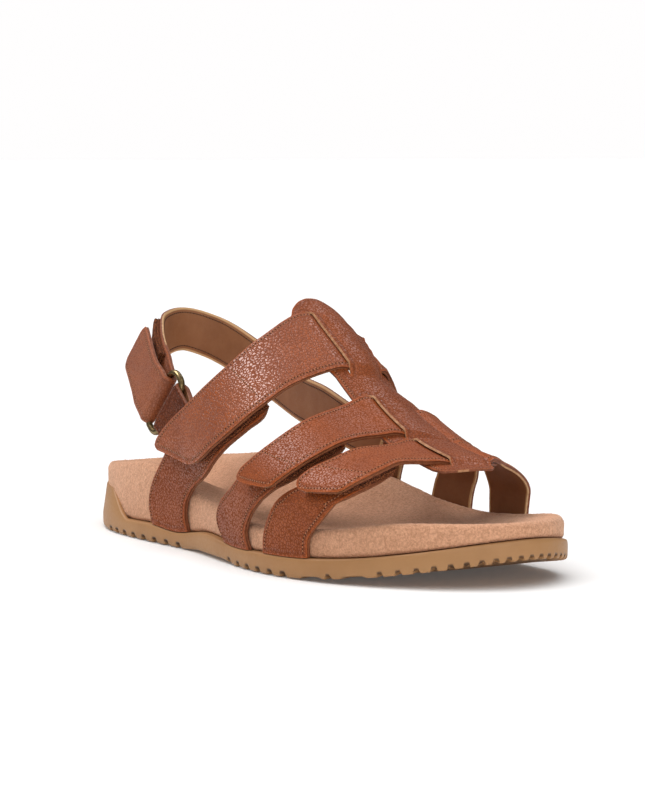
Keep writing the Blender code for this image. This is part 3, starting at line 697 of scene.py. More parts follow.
def dress(tree, shader, colour, height, strength, depth, roughness=None):
    """Join a colour, a bump of some depth in millimetres and a roughness to a finish's shader."""
    tree.links.new(colour, shader.inputs["Base Color"])
    links = {"Height": height, "Strength": strength, "Distance": depth * MM}
    tree.links.new(node(tree, "ShaderNodeBump", links).outputs[0], shader.inputs["Normal"])
    if roughness is not None:
        tree.links.new(roughness, shader.inputs["Roughness"])


def grained_leather(name, light, deep, pebbles, depth, roughness, gloss, crease=0.5, width=0.17):
    """Leather in two tones with its pebbles and its gloss, its creases darkened with painted shade (crease
    sets how much) and their width.
    """
    finish, tree, shader, place = new_finish(name, Specular_IOR_Level=gloss)
    grain = use_group(
        tree, "pebble_grain",
        {"Vector": place, "Pebbles per Metre": pebbles, "Wrinkle": 0.03, "Crease Width": width},
    )
    tone = two_tones(tree, place, 60.0, light, deep)
    edge = edge_masks(tree)
    # Creases are blended towards a dark tone: painted shade where the grain folds in.
    crease_shade = arithmetic(tree, "MULTIPLY", grain["Crease"], crease)
    shaded = tuple(0.45 * c for c in deep)
    colour = blend_colours(tree, crease_shade, tone["Color"], opaque(shaded))
    worn = arithmetic(tree, "MULTIPLY", edge["Worn"], 0.35)
    colour = blend_colours(tree, worn, colour, opaque(min(1.6 * c, 1.0) for c in light))
    # The groove that the sewing pulls is darkened with the same painted shade.
    groove_shade = arithmetic(tree, "MULTIPLY", edge["Groove"], 0.3)
    colour = blend_colours(tree, groove_shade, colour, opaque(shaded))
    rough = ramp(tree, grain["Crease"], 0.0, 1.0, roughness, 0.9)
    groove = arithmetic(tree, "MULTIPLY", edge["Groove"], 1.5)
    height = arithmetic(tree, "SUBTRACT", grain["Height"], groove)
    dress(tree, shader, colour, height, 1.0, depth, rough)
    return finish


def smooth_lining(name, light, deep, bare_edge):
    """Lining leather in two tones, its edge bare where bare_edge is 1."""
    finish, tree, shader, place = new_finish(name, Specular_IOR_Level=0.4)
    tone = two_tones(tree, place, 90.0, light, deep)
    edge = edge_masks(tree, RAW_EDGE_WIDTH)
    bare = ramp(tree, edge["Worn"], 0.1, 0.5, 0.0, bare_edge)
    colour = blend_colours(tree, bare, tone["Color"], opaque(RAW_TAN))
    fine = noise_texture(tree, place, 1600.0, 3.0)["Fac"]
    dress(tree, shader, colour, fine, 0.2, 0.08, ramp(tree, fine, 0.2, 0.8, 0.55, 0.75))
    return finish


def cut_edge(name, light, deep, roughness):
    """Edge of cut leather: layers of fibre in two tones."""
    finish, tree, shader, place = new_finish(name, Specular_IOR_Level=0.3)
    tone = two_tones(tree, place, 700.0, light, deep)
    rough = ramp(tree, tone["Patch"], 0.0, 1.0, roughness, roughness + 0.15)
    dress(tree, shader, tone["Color"], tone["Patch"], 0.35, 0.12, rough)
    return finish


def tape_pile(name, light, deep):
    """Hook and loop tape: a dense tangle of loops with bright flecks."""
    finish, tree, shader, place = new_finish(name, Roughness=0.85, Specular_IOR_Level=0.15)
    loops = use_group(tree, "pebble_grain", {"Vector": place, "Pebbles per Metre": 1500.0, "Wrinkle": 0.5})
    flecks = ramp(tree, loops["Height"], 0.45, 1.15)
    colour = blend_colours(tree, flecks, opaque(deep), opaque(light))
    dress(tree, shader, colour, loops["Height"], 0.9, 0.45)
    return finish


def suede(name, light, deep):
    finish, tree, shader, place = new_finish(
        name, Roughness=0.95, Specular_IOR_Level=0.15, Sheen_Weight=0.25, Sheen_Roughness=0.5
    )
    shader.inputs["Sheen Tint"].default_value = (1.0, 0.85, 0.72, 1.0)
    nap = use_group(tree, "suede_nap", {"Vector": place})
    colour = blend_colours(tree, nap["Tone"], opaque(light), opaque(deep))
    dress(tree, shader, colour, nap["Height"], 0.8, 0.5)
    return finish


def gum_rubber(name, light, deep):
    finish, tree, shader, place = new_finish(name, Specular_IOR_Level=0.4)
    tone = two_tones(tree, place, 35.0, light, deep)
    recess = node(tree, "ShaderNodeAttribute", attribute_name="recess").outputs["Fac"]
    # Deep in the tread's notches the rubber is darkened: painted shade in the recesses.
    recess_shaded = blend_colours(tree, ramp(tree, recess, 0.3, 1.6, 0.0, 0.85), tone["Color"], opaque(RECESS_SHADE))
    fine = noise_texture(tree, place, 1100.0, 3.0)["Fac"]
    dress(tree, shader, recess_shaded, fine, 0.15, 0.1, ramp(tree, fine, 0.2, 0.8, 0.42, 0.6))
    return finish


def antique_brass(name, light, deep):
    finish, tree, shader, place = new_finish(name, Metallic=1.0)
    tone = two_tones(tree, place, 420.0, light, deep)
    rough = ramp(tree, tone["Patch"], 0.0, 1.0, 0.25, 0.5)
    dress(tree, shader, tone["Color"], tone["Patch"], 0.15, 0.05, rough)
    return finish


def sewing_thread(name, colour):
    finish, tree, shader, place = new_finish(name, Roughness=0.6, Specular_IOR_Level=0.35)
    strands = noise_texture(tree, place, 2600.0, 2.0)["Fac"]
    deep = tuple(0.5 * c for c in colour)
    twisted = blend_colours(tree, strands, opaque(colour), opaque(deep))
    dress(tree, shader, twisted, strands, 0.5, 0.1)
    return finish


PEBBLED_LEATHER = grained_leather(
    "pebbled_leather", (0.32, 0.07, 0.0105), (0.26, 0.053, 0.007), 780.0, 0.105, 0.32, 0.65, 0.55, 0.2
)
SPINE_GRAIN = grained_leather(
    "spine_grain", (0.29, 0.063, 0.0095), (0.23, 0.047, 0.0063), 820.0, 0.09, 0.35, 0.4, 0.5
)
STRAP_LEATHER = grained_leather(
    "strap_leather", (0.31, 0.068, 0.0105), (0.25, 0.051, 0.007), 900.0, 0.045, 0.4, 0.35
)
LEG_LEATHER = grained_leather(
    "leg_leather", (0.3, 0.065, 0.0098), (0.24, 0.048, 0.0066), 860.0, 0.1, 0.36, 0.32, 0.6
)
TAB_LEATHER = grained_leather(
    "tab_leather", (0.32, 0.078, 0.015), (0.26, 0.058, 0.01), 1000.0, 0.09, 0.42, 0.7
)
# The keeper's leather is a darkened copy of the strap leather: painted shade for the shadow the keeper lies
# in.
SHADED_KEEPER_LEATHER = grained_leather(
    "keeper_leather", (0.15, 0.031, 0.005), (0.11, 0.021, 0.003), 700.0, 0.16, 0.4, 0.2, 0.6
)
LINING = smooth_lining("strap_lining", (0.29, 0.119, 0.047), (0.24, 0.093, 0.034), 0.0)
BARE_LINING = smooth_lining("bare_edged_lining", (0.29, 0.119, 0.047), (0.24, 0.093, 0.034), 1.0)
PAINTED_EDGE = cut_edge("painted_edge", (0.24, 0.075, 0.03), (0.15, 0.042, 0.016), 0.45)
RAW_EDGE = cut_edge("raw_edge", (0.55, 0.35, 0.19), (0.38, 0.21, 0.1), 0.7)
SLIT_EDGE = cut_edge("slit_edge", (0.46, 0.24, 0.12), (0.28, 0.12, 0.05), 0.6)
HOOK_PILE = tape_pile("hook_pile", (0.24, 0.075, 0.034), (0.045, 0.012, 0.005))
LOOP_PILE = tape_pile("loop_pile", (0.34, 0.11, 0.04), (0.1, 0.027, 0.01))
FOOTBED_SUEDE = suede("footbed_suede", (0.7, 0.38, 0.235), (0.43, 0.215, 0.118))
SOLE_RUBBER = gum_rubber("sole_rubber", (0.37, 0.19, 0.074), (0.325, 0.16, 0.06))
RING_BRASS = antique_brass("ring_brass", (0.27, 0.2, 0.095), (0.1, 0.07, 0.032))
STITCH_THREAD = sewing_thread("stitch_thread", (0.5, 0.2, 0.09))
DARK_THREAD = sewing_thread("dark_thread", (0.1, 0.05, 0.028))
# Needle holes are near-black beads on the surface: painted shade in the holes.
NEEDLE_HOLE_SHADE = cut_edge("needle_hole_shade", (0.05, 0.015, 0.006), (0.03, 0.009, 0.004), 0.8)


# Meshes


def mesh_from(name, bm):
    mesh = bpy.data.meshes.new(name)
    bm.to_mesh(mesh)
    bm.free()
    return mesh


def add_object(name, data):
    made = bpy.data.objects.new(name, data)
    bpy.context.scene.collection.objects.link(made)
    return made


def finished(name, bm, finishes, replaced=()):
    """Turn a bmesh into a piece that rides on the frame."""
    mesh = mesh_from(name, bm)
    mesh.shade_smooth()
    for finish in finishes:
        mesh.materials.append(finish)
    piece = add_object(name, mesh)
    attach(piece, "root")
    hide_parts(*replaced)
    return piece


def thicken(piece, thickness, rounding=LEATHER_ROUNDING):
    """Give a sheet its lining and cut edge, then round the edge."""
    wall = piece.modifiers.new("wall", "SOLIDIFY")
    wall.thickness = thickness * MM
    wall.offset = -1.0
    wall.material_offset = 1
    wall.material_offset_rim = 2
    edge = piece.modifiers.new("rounded_edge", "BEVEL")
    edge.width = rounding * MM
    edge.segments = 3
    edge.limit_method = "ANGLE"
    edge.angle_limit = math.radians(50.0)
    edge.profile = 0.5


def lay(bm, points):
    """Move the vertices to points in millimetres."""
    for vert, point in zip(bm.verts, metres(points)):
        vert.co = point


def turned_down(v, width):
    """Drop of a sheet's face towards its cut sides, at shares of the width."""
    from_side = np.minimum(v, 1.0 - v) * width
    return EDGE_TURN * (1.0 - np.sqrt(np.clip(from_side / EDGE_TURN_WIDTH, 0.0, 1.0)))


def pushed_rim(bm, edges):
    """Extrude edges, and give the new vertices and the edges between them."""
    made = bmesh.ops.extrude_edge_only(bm, edges=edges)["geom"]
    verts = [item for item in made if isinstance(item, bmesh.types.BMVert)]
    fresh = set(verts)
    return verts, [e for e in made if isinstance(e, bmesh.types.BMEdge) and all(v in fresh for v in e.verts)]


def close_up(bm, distance):
    bmesh.ops.remove_doubles(bm, verts=bm.verts, dist=distance * MM)
    bmesh.ops.recalc_face_normals(bm, faces=bm.faces)


def grid(rows, columns):
    """A flat grid with its u along the rows and v along the columns, both 0 to 1."""
    bm = bmesh.new()
    bmesh.ops.create_grid(bm, x_segments=rows, y_segments=columns, size=0.5)
    spots = np.array([vert.co for vert in bm.verts]) + 0.5
    return bm, spots[:, 0], spots[:, 1]


def mark_edges(bm):
    """Keep each vertex's distance to the sheet's cut edge, in millimetres."""
    layer = bm.verts.layers.float.new("edge_mm")
    spots = np.array([vert.co for vert in bm.verts]) / MM
    ends = np.array([[vert.co for vert in edge.verts] for edge in bm.edges if edge.is_boundary]) / MM
    shares = np.array((0.0, 0.25, 0.5, 0.75))[:, None, None]
    rim = (ends[None, :, 0] + (ends[None, :, 1] - ends[None, :, 0]) * shares).reshape(-1, 3)
    for vert, spot in zip(bm.verts, spots):
        vert[layer] = float(np.sqrt(((rim - spot) ** 2).sum(axis=1).min()))


def face_outwards(bm, inside):
    """Turn the sheet so that its faces look away from a point inside the shoe."""
    bm.normal_update()
    lean = sum(face.normal.dot(face.calc_center_median() - inside) for face in bm.faces)
    if lean < 0.0:
        bmesh.ops.reverse_faces(bm, faces=bm.faces)


def bead(bm, spot, ahead, up, size, material):
    """One stitch, or a dark bead of painted shade at a needle hole: a small ellipsoid lying along the seam.
    """
    aside = np.cross(up, ahead)
    basis = Matrix((ahead * size[0], aside * size[1], up * size[2])).transposed().to_4x4()
    basis = Matrix.Scale(MM, 4) @ basis
    basis.translation = metres(spot)
    made = bmesh.ops.create_uvsphere(bm, u_segments=6, v_segments=4, radius=0.5, matrix=basis)["verts"]
    for face in {face for vert in made for face in vert.link_faces}:
        face.material_index = material
        face.smooth = True


def sew_seam(points, normals):
    """Mesh of one seam's stitches and the dark beads of painted shade at its needle holes, from points on the
    surface and its normals.
    """
    bm = bmesh.new()
    travel = path_travel(points)
    for k in range(int(travel[-1] / STITCH_PITCH)):
        for share, size, material in ((0.5, STITCH_SIZE, 0), (1.0, HOLE_SHADE_SIZE, 1)):
            at = (k + share) * STITCH_PITCH
            before, spot, after = (
                np.array([np.interp(at + shift, travel, points[:, axis]) for axis in range(3)])
                for shift in (-0.5, 0.0, 0.5)
            )
            up = unit([np.interp(at, travel, normals[:, axis]) for axis in range(3)])
            ahead = unit(after - before)
            up = unit(up - ahead * np.dot(up, ahead))
            bead(bm, spot, ahead, up, size, material)
    return mesh_from("seam", bm)


def sew(name, seams, thread=None):
    """One piece of sewing from several seams."""
    bm = bmesh.new()
    for seam in seams:
        mesh = sew_seam(*seam)
        bm.from_mesh(mesh)
        bpy.data.meshes.remove(mesh)
    return finished(name, bm, [thread or STITCH_THREAD, NEEDLE_HOLE_SHADE])


# Straps over the last


class StrapSheet:
    """A strap between two edges over the last, from one girth to another."""

    def __init__(self, rows, first, last, lift, thickness, inset=0.0, crowding=0.0):
        self.rows = rows
        self.first = first
        self.last = last
        self.lift = lift
        self.thickness = thickness
        self.inset = inset
        self.crowding = crowding

    def spread(self, u):
        """Girth and edges along the strap, with its rows crowded towards the first end."""
        u = u * (1.0 - self.crowding) + self.crowding * u * u
        girth = self.first + (self.last - self.first) * u
        back = follow(self.rows, "back", girth) + self.inset
        front = follow(self.rows, "front", girth) - self.inset
        return girth, back, front

    def at(self, u, v, rise):
        """Points at a height above the strap's underside."""
        girth, back, front = self.spread(u)
        x = back + (front - back) * v
        return last_point(x, girth, self.lift(x, girth) + rise)

    def width(self, u):
        """Width square to the strap's own run."""
        low, high = self.at(u, np.zeros_like(u), 0.0), self.at(u, np.ones_like(u), 0.0)
        middle = self.at(u, np.full_like(u, 0.5), 0.0)
        ahead = unit(np.gradient(middle, axis=0))
        across = high - low
        return np.linalg.norm(across - ahead * (across * ahead).sum(axis=1, keepdims=True), axis=1)

    def sheet(self, rows, columns, height=None):
        """Upper face of a layer of the strap, its cut edges turned down."""
        height = self.thickness if height is None else height
        bm, u, v = grid(rows, columns)
        stations = np.unique(np.round(u, 6))
        turned = turned_down(v, np.interp(u, stations, self.width(stations)))
        lay(bm, self.at(u, v, height - turned * height / self.thickness))
        face_outwards(bm, SHOE_INSIDE)
        mark_edges(bm)
        return bm

    def seam(self, us, vs):
        """A line on the upper face with its normals."""
        points = self.at(us, vs, self.thickness - STITCH_SINK)
        return points, unit(self.at(us, vs, self.thickness + 1.0) - points)

    def edge_seams(self, start, end):
        """Seams at the stitching's inset along both sides."""
        us = np.linspace(start, end, 160)
        inset = STITCH_INSET / self.width(us)
        return [self.seam(us, vs) for vs in (inset, 1.0 - inset)]

    def cross_seam(self, u, start=0.1, end=0.9):
        vs = np.linspace(start, end, 40)
        return self.seam(np.full_like(vs, u), vs)

    def share_at(self, girth):
        """Place along the strap of a girth."""
        us = np.linspace(0.0, 1.0, 400)
        return float(np.interp(girth, self.spread(us)[0], us))


def woven_lift(x, girth):
    """Height of a cross strap at the spine: over the margins, through the slits, under the centre band."""
    y = last_surface(x, girth)[..., 1]
    swell = INNER_SWELL * eased_steps(y - SLIT_INNER_Y, INNER_SWELL_SPAN, (0.0, 1.0, 1.0, 0.0))
    return spine_lift(x, y) + weave_height(inside_slits(y)) + swell


def spine_lift(x, y):
    """Height of the spine's bed over the last, on its outer and its inner side."""
    outer, inner = (eased_steps(x, SPINE_LIFT["x"], SPINE_LIFT[side]) for side in ("outer", "inner"))
    return outer + (inner - outer) * eased_between(y, *SPINE_LIFT_SPAN)


def weave_height(inside):
    """Height of a cross strap over the spine's bed by its distance inside the slits."""
    return MARGIN_LIFT + (UNDER_LIFT - MARGIN_LIFT) * eased_between(inside, -SLIT_REACH, SLIT_REACH)


def over_strap(name):
    """A cross strap, from its tip over the tape and through the spine to its inner foot."""
    rows = STRAPS[name]["over"]
    leave = STRAPS[name]["tape_end"] - TAPE_LEAVE

    def lift(x, girth):
        onto = eased_between(girth, leave, WEAVE_START)
        off = eased_between(girth, *INNER_FALL)
        return (OVER_LIFT + (woven_lift(x, girth) - OVER_LIFT) * onto) * (1.0 - off)

    return StrapSheet(rows, rows["girth"][0], 1.0, lift, STRAP, crowding=OVER_CROWDING)


def flat_lift(height):
    return lambda x, girth: np.full_like(x, height)


def line_strap(name, strap, leather, cells, replaced=()):
    """A strap's face leather, and the lining sewn under it, its edge painted except on the inner leg."""
    upper = [leather, leather, PAINTED_EDGE]
    piece = finished(name, strap.sheet(*cells), upper, replaced)
    thicken(piece, strap.thickness - LINING_LAYER)
    lining = strap.sheet(*cells, LINING_LAYER)
    for face in lining.faces:
        face.material_index = RAW_FROM if face.calc_center_median().y > RAW_EDGE_Y * MM else 0
    under = [LINING, LINING, PAINTED_EDGE] + [BARE_LINING, BARE_LINING, RAW_EDGE]
    piece = finished(name + "_lining", lining, under)
    thicken(piece, LINING_LAYER, LINING_ROUNDING)


def make_tape(kind, name, lift, thickness, pile, replaced=()):
    """One layer of hook-and-loop tape under a cross strap."""
    rows, tape_end = STRAPS[name]["over"], STRAPS[name]["tape_end"]
    at_tip, at_end = TAPE_GAPS
    first = rows["girth"][0] + at_tip
    tape = StrapSheet(rows, first, tape_end - at_end, flat_lift(lift), thickness, TAPE_INSET)
    piece = finished(kind + "_tape_" + name, tape.sheet(*TAPE_CELLS), [pile] * 3, replaced)
    thicken(piece, thickness, TAPE_ROUNDING)


def make_straps():
    for name, strap in STRAPS.items():
        over = over_strap(name)
        leather = PEBBLED_LEATHER if name == "instep" else STRAP_LEATHER
        line_strap("strap_" + name, over, leather, OVER_CELLS)
        rows = strap["leg"]
        leg = StrapSheet(rows, rows["girth"][-1], -1.0, flat_lift(0.0), LEG, crowding=LEG_CROWDING)
        line_strap("leg_" + name, leg, LEG_LEATHER, LEG_CELLS, ["strap_base_" + name])
        make_tape("loop", name, LOOP_LIFT, LOOP_TAPE, LOOP_PILE, ["fastener_" + name])
        make_tape("hook", name, HOOK_LIFT, HOOK_TAPE, HOOK_PILE)
        sewn = over.edge_seams(*OVER_SEAM_SPAN)
        sewn.append(over.cross_seam(over.share_at(over.first + TIP_SEAM), *TIP_SEAM_SPAN))
        sewn.append(over.cross_seam(over.share_at(strap["sewn_across"])))
        sew("stitching_" + name, sewn + leg.edge_seams(*LEG_SEAM_SPAN))


# Spine


def strap_gate(x, y):
    """How far a cross strap is present at points of the spine, 0 to 1."""
    girth = girth_at(x, y)
    gate = np.zeros_like(x)
    for strap in STRAPS.values():
        back = follow(strap["over"], "back", girth)
        front = follow(strap["over"], "front", girth)
        ahead = ease((x - back + SLIT_MARGIN[0]) / SLIT_RAMP[0] + SLIT_LEAD)
        behind = ease((front + SLIT_MARGIN[1] - x) / SLIT_RAMP[1] + SLIT_LEAD)
        gate = np.maximum(gate, ahead * behind)
    return gate


def spine_columns(v):
    """Y across the spine, with columns on both slit lines."""
    return np.interp(v, (0.0, 0.25, 0.75, 1.0), (SPINE_OUTER_Y, SLIT_OUTER_Y, SLIT_INNER_Y, SPINE_INNER_Y))


def spine_point(x, y, side, rise):
    """Point of the spine: side 0 is whole leather, 1 the centre band's slit edge, -1 the margin's."""
    gate = strap_gate(x, y)
    inside = np.where(side == 0, inside_slits(y), ON_LINE * side)
    strap_height = weave_height(inside)
    half_band = 0.5 * (SLIT_INNER_Y - SLIT_OUTER_Y)
    crown = BAND_CROWN * ease(inside / half_band)
    over = strap_height + STRAP + SLIT_LIP + crown
    under = strap_height - SPINE_LEATHER - LAYER_GAP
    lift = spine_lift(x, y) + gate * np.where(inside > 0.0, over, under)
    opening = SLIT_OPENING * gate * side * np.where(y < 0.5 * (SLIT_OUTER_Y + SLIT_INNER_Y), 1.0, -1.0)
    outer = np.clip((SLIT_OUTER_Y - y) / (SLIT_OUTER_Y - SPINE_OUTER_Y), 0.0, 1.0)
    waist = SPINE_WAIST * outer * eased_steps(x, SPINE_WAIST_SPAN, (0.0, 1.0, 1.0, 0.0))
    bow = SLIT_BOW * gate * (1.0 - ease(np.abs(y - SLIT_OUTER_Y) / SLIT_BOW_REACH))
    girth = girth_at(x, y + opening + waist + bow)
    return last_point(x, girth, lift + rise)


def slit_side(vert, y_layer):
    """1 for a vertex on the centre band's side of an open slit, -1 on the margin's side, 0 elsewhere."""
    y = vert[y_layer]
    if abs(inside_slits(y)) >= ON_LINE:
        return 0
    reach = [inside_slits(edge.other_vert(vert)[y_layer]) for edge in vert.link_edges]
    inwards = any(inside > ON_LINE for inside in reach)
    outwards = any(inside < -ON_LINE for inside in reach)
    return 0 if inwards == outwards else 1 if inwards else -1


def make_spine():
    bm, u, v = grid(*SPINE_CELLS)
    y = spine_columns(v)
    back, front = follow(SPINE_ENDS, "back", y), follow(SPINE_ENDS, "front", y)
    x_layer = bm.verts.layers.float.new("spine_x")
    y_layer = bm.verts.layers.float.new("spine_y")
    for vert, along, across in zip(bm.verts, back + (front - back) * u, y):
        vert[x_layer] = along
        vert[y_layer] = across
    slits = []
    for edge in bm.edges:
        if all(abs(inside_slits(vert[y_layer])) < ON_LINE for vert in edge.verts):
            first, second = edge.verts
            middle = np.array([0.5 * (first[x_layer] + second[x_layer])])
            if strap_gate(middle, np.array([first[y_layer]]))[0] > SLIT_START:
                slits.append(edge)
    bmesh.ops.split_edges(bm, edges=slits)
    x, y = (np.array([vert[layer] for vert in bm.verts]) for layer in (x_layer, y_layer))
    side = np.array([slit_side(vert, y_layer) for vert in bm.verts])
    side = np.where(strap_gate(x, y) < SLIT_START, 0, side)
    lay(bm, spine_point(x, y, side, SPINE_LEATHER))
    face_outwards(bm, SPINE_INSIDE)
    mark_edges(bm)
    for face in bm.faces:
        across = sum(vert[y_layer] for vert in face.verts) / len(face.verts)
        face.material_index = RAW_FROM if abs(inside_slits(across)) < SLIT_EDGE_REACH else 0
    whole = [SPINE_GRAIN, LINING, PAINTED_EDGE]
    slit = [SPINE_GRAIN, LINING, SLIT_EDGE]
    piece = finished("spine", bm, whole + slit, ["upper"])
    thicken(piece, SPINE_LEATHER, SPINE_ROUNDING)
    seams = [spine_seam(y) for y in (SPINE_OUTER_Y + STITCH_INSET, SPINE_INNER_Y - STITCH_INSET)]
    sew("stitching_spine", seams)


def spine_seam(y):
    """Seam along one side of the spine, where no strap crosses over it."""
    back, front = follow(SPINE_ENDS, "back", y), follow(SPINE_ENDS, "front", y)
    x = np.linspace(back + STITCH_INSET, front - STITCH_INSET, 300)
    across = np.full_like(x, y)
    side = np.zeros_like(x)
    points = spine_point(x, across, side, SPINE_LEATHER - STITCH_SINK)
    return points, unit(spine_point(x, across, side, SPINE_LEATHER + 1.0) - points)


# Sole and footbed


def start_rim(points):
    """A closed ring of edges, each vertex holding its angle round the sole."""
    bm = bmesh.new()
    angle_layer = bm.verts.layers.float.new("angle")
    made = bmesh.ops.create_circle(bm, segments=points, radius=1.0)["verts"]
    for vert in made:
        vert[angle_layer] = math.atan2(vert.co.y, vert.co.x)
    return bm, angle_layer, list(bm.edges)


def place_ring(verts, angle_layer, ring):
    angles = np.array([vert[angle_layer] for vert in verts])
    for vert, point in zip(verts, metres(ring(angles))):
        vert.co = point


def next_ring(bm, angle_layer, rim, ring):
    """Extrude the rim and lay the new ring where it belongs."""
    verts, fresh_rim = pushed_rim(bm, rim)
    place_ring(verts, angle_layer, ring)
    return fresh_rim


def ring_at(inset, height, rise):
    """Ring at an inset from the outline and a rise above a height that varies with the angle."""
    def ring(angles):
        plan = inset_outline(angles, inset(angles)[:, None] if callable(inset) else inset)
        return np.concatenate([plan, (height(angles) + rise)[:, None]], axis=1)
    return ring


def middle_ring(height):
    """Ring drawn together on the sole's middle line."""
    def ring(angles):
        station = np.clip(station_at(angles), *MIDDLE_LINE)
        plan = (HEEL_X + LENGTH * station, follow(PLAN, "centre", station), height(station))
        return np.stack(plan, axis=1)
    return ring


def notch_height(angles):
    """Arch of the tread's notches round the outline, 0 between them."""
    plan = outline(angles)
    arch = np.zeros_like(angles)
    for first, last, count, width, height in zip(*TREAD.values()):
        for degrees in np.linspace(first, last, int(count)):
            away = np.linalg.norm(plan - outline(np.radians(degrees)), axis=1) * 2.0 / width
            arch = np.maximum(arch, height * np.clip(1.0 - away**4, 0.0, 1.0) ** 0.5)
    return arch


def mark_recesses(bm):
    """Keep how deep in a notch each vertex of the sole lies, for the painted shade there."""
    layer = bm.verts.layers.float.new("recess")
    angle_layer = bm.verts.layers.float["angle"]
    angles = np.array([vert[angle_layer] for vert in bm.verts])
    heights = np.array([vert.co.z for vert in bm.verts]) / MM - underside(station_at(angles))
    arch = notch_height(angles)
    deep = arch * (heights < arch + 0.1)
    for vert, share in zip(bm.verts, deep):
        vert[layer] = float(share) if vert.normal.z < 0.1 else 0.0


def make_outsole():
    bm, angle_layer, rim = start_rim(SOLE_POINTS)

    def ring_of(inset, level, rise):
        if level == NOTCHED:
            def ring(angles):
                ground = underside(station_at(angles))
                height = np.maximum(rise, notch_height(angles))
                return np.concatenate([inset_outline(angles, inset), (ground + height)[:, None]], axis=1)
            return ring
        height = {BED: flange_top, WALL: wall_top, GROUND: underside}[level]
        if level == WALL:
            def lean(angles):
                station = station_at(angles)
                return inset + HEEL_LEAN * (wall_top(station) - flange_top(station))
            return ring_at(lean, lambda angles: height(station_at(angles)), rise)
        return ring_at(inset, lambda angles: height(station_at(angles)), rise)

    place_ring(list(bm.verts), angle_layer, middle_ring(flange_top))
    for row in OUTSOLE_SECTION:
        rim = next_ring(bm, angle_layer, rim, ring_of(*row))
    next_ring(bm, angle_layer, rim, middle_ring(underside))
    close_up(bm, SOLE_MERGE)
    mark_recesses(bm)
    finished("sole", bm, [SOLE_RUBBER], ["outsole"])


def make_footbed():
    bm, angle_layer, rim = start_rim(FOOTBED_POINTS)

    def rim_height(angles):
        station = station_at(angles)
        outer = follow(FOOTBED, "outer_rim", station)
        inner = follow(FOOTBED, "inner_rim", station)
        return outer + (inner - outer) * ease(0.5 + 0.5 * np.sin(angles))

    def seat_height(angles):
        return flange_top(station_at(angles)) + SEAT_GAP

    def stand_back(inset):
        """Inset from the sole's outline, less at the toe."""
        def from_outline(angles):
            return FOOTBED_INSET + inset - FOOTBED_TOE * eased_between(station_at(angles), *FOOTBED_TOE_RANGE)
        return from_outline

    place_ring(list(bm.verts), angle_layer, middle_ring(lambda station: flange_top(station) + SEAT_GAP))
    for inset, level, rise in FOOTBED_SECTION:
        height = rim_height if level == RIM else seat_height
        rim = next_ring(bm, angle_layer, rim, ring_at(stand_back(inset), height, rise))
    inset, _, rise = FOOTBED_SECTION[-1]
    edge_ring = ring_at(stand_back(inset), rim_height, rise)
    centre_ring = middle_ring(lambda station: follow(FOOTBED, "middle", station))
    for share in DISH_SHARES:
        drop = float(ease(share * DISH_STEEPNESS))

        def dish(angles, share=share, drop=drop):
            edge = edge_ring(angles)
            return edge + (centre_ring(angles) - edge) * (share, share, drop)

        rim = next_ring(bm, angle_layer, rim, dish)
    close_up(bm, SOLE_MERGE)
    bm.normal_update()
    for vert in bm.verts:
        vert.co += vert.normal * (NAP_ROUGHNESS * MM * noise.noise(vert.co / (NAP_SIZE * MM)))
    finished("footbed", bm, [FOOTBED_SUEDE], ["footbed"])


# Heel sling, ring and keeper

LONG = unit(RING_LONG)
SHORT = unit(np.array(RING_SHORT) - LONG * np.dot(RING_SHORT, LONG))
OUTWARD = unit(np.cross(SHORT, LONG))
BAR_BACK = RING_CENTRE - SHORT * RING_BAR_SPACING / 2
BAR_FRONT = RING_CENTRE + SHORT * RING_BAR_SPACING / 2
FOLD_RADIUS = RING_WIRE / 2 + 0.15 + SLING_LEATHER / 2
LOOP_ROWS = 130
FOLD_ROWS = 18
TAB_ROWS = 40
KEEPER_ROWS = 24


def sling_path():
    """Middle of the sling with its cross directions and widths: heel loop, fold at the ring, tab."""
    points = np.stack([SLING["x"], SLING["y"], SLING["z"]], axis=1)
    travel = path_travel(points)
    at = np.linspace(0.0, travel[-1], LOOP_ROWS)
    loop = np.stack([smooth_curve(at, travel, points[:, axis]) for axis in range(3)], axis=1)
    along = unit(np.gradient(loop, axis=0))
    level = unit(np.cross(along, (0.0, 0.0, 1.0)))
    upright = np.cross(level, along)
    turn = eased_between(np.arange(LOOP_ROWS) / LOOP_ROWS, *TWIST_RANGE)[:, None]
    crosses = list(unit(upright * (1.0 - turn) + LONG * turn))
    centres = list(loop)
    for angle in np.linspace(0.0, math.pi, FOLD_ROWS + 1):
        swing = SHORT * math.sin(angle) - OUTWARD * math.cos(angle)
        centres.append(BAR_BACK + swing * FOLD_RADIUS + LONG * FOLD_SHIFT)
    start = centres[-1]
    for far in np.linspace(0.0, TAB_LENGTH, TAB_ROWS + 1)[1:]:
        bulge = TAB_BULGE * ease(far / (TAB_BULGE_SHARE * TAB_LENGTH))
        centres.append(start + unit(TAB_HEADING) * far + OUTWARD * bulge)
    rest = len(centres) - LOOP_ROWS
    widths = np.concatenate([smooth_curve(at, travel, SLING["width"]), np.full(rest, SLING_WIDTH)])
    rows = np.arange(len(centres))
    fold, end = LOOP_ROWS + FOLD_ROWS, len(centres) - 1
    widths += eased_steps(
        rows,
        (0, LOOP_ROWS - FOLD_SPREAD_ROWS, LOOP_ROWS, fold, fold + TAB_ROWS // 2, end),
        (0.0, 0.0, FOLD_SPREAD, FOLD_SPREAD, TAB_WAIST, TAB_SPREAD),
    )
    to_end = TAB_LENGTH * (end - rows) / TAB_ROWS
    short = np.clip(TAB_CORNER - to_end, 0.0, TAB_CORNER)
    widths -= 2.0 * (TAB_CORNER - np.sqrt(TAB_CORNER**2 - short**2)) * TAB_SQUARENESS
    return np.array(centres), np.array(crosses + [LONG] * rest), widths


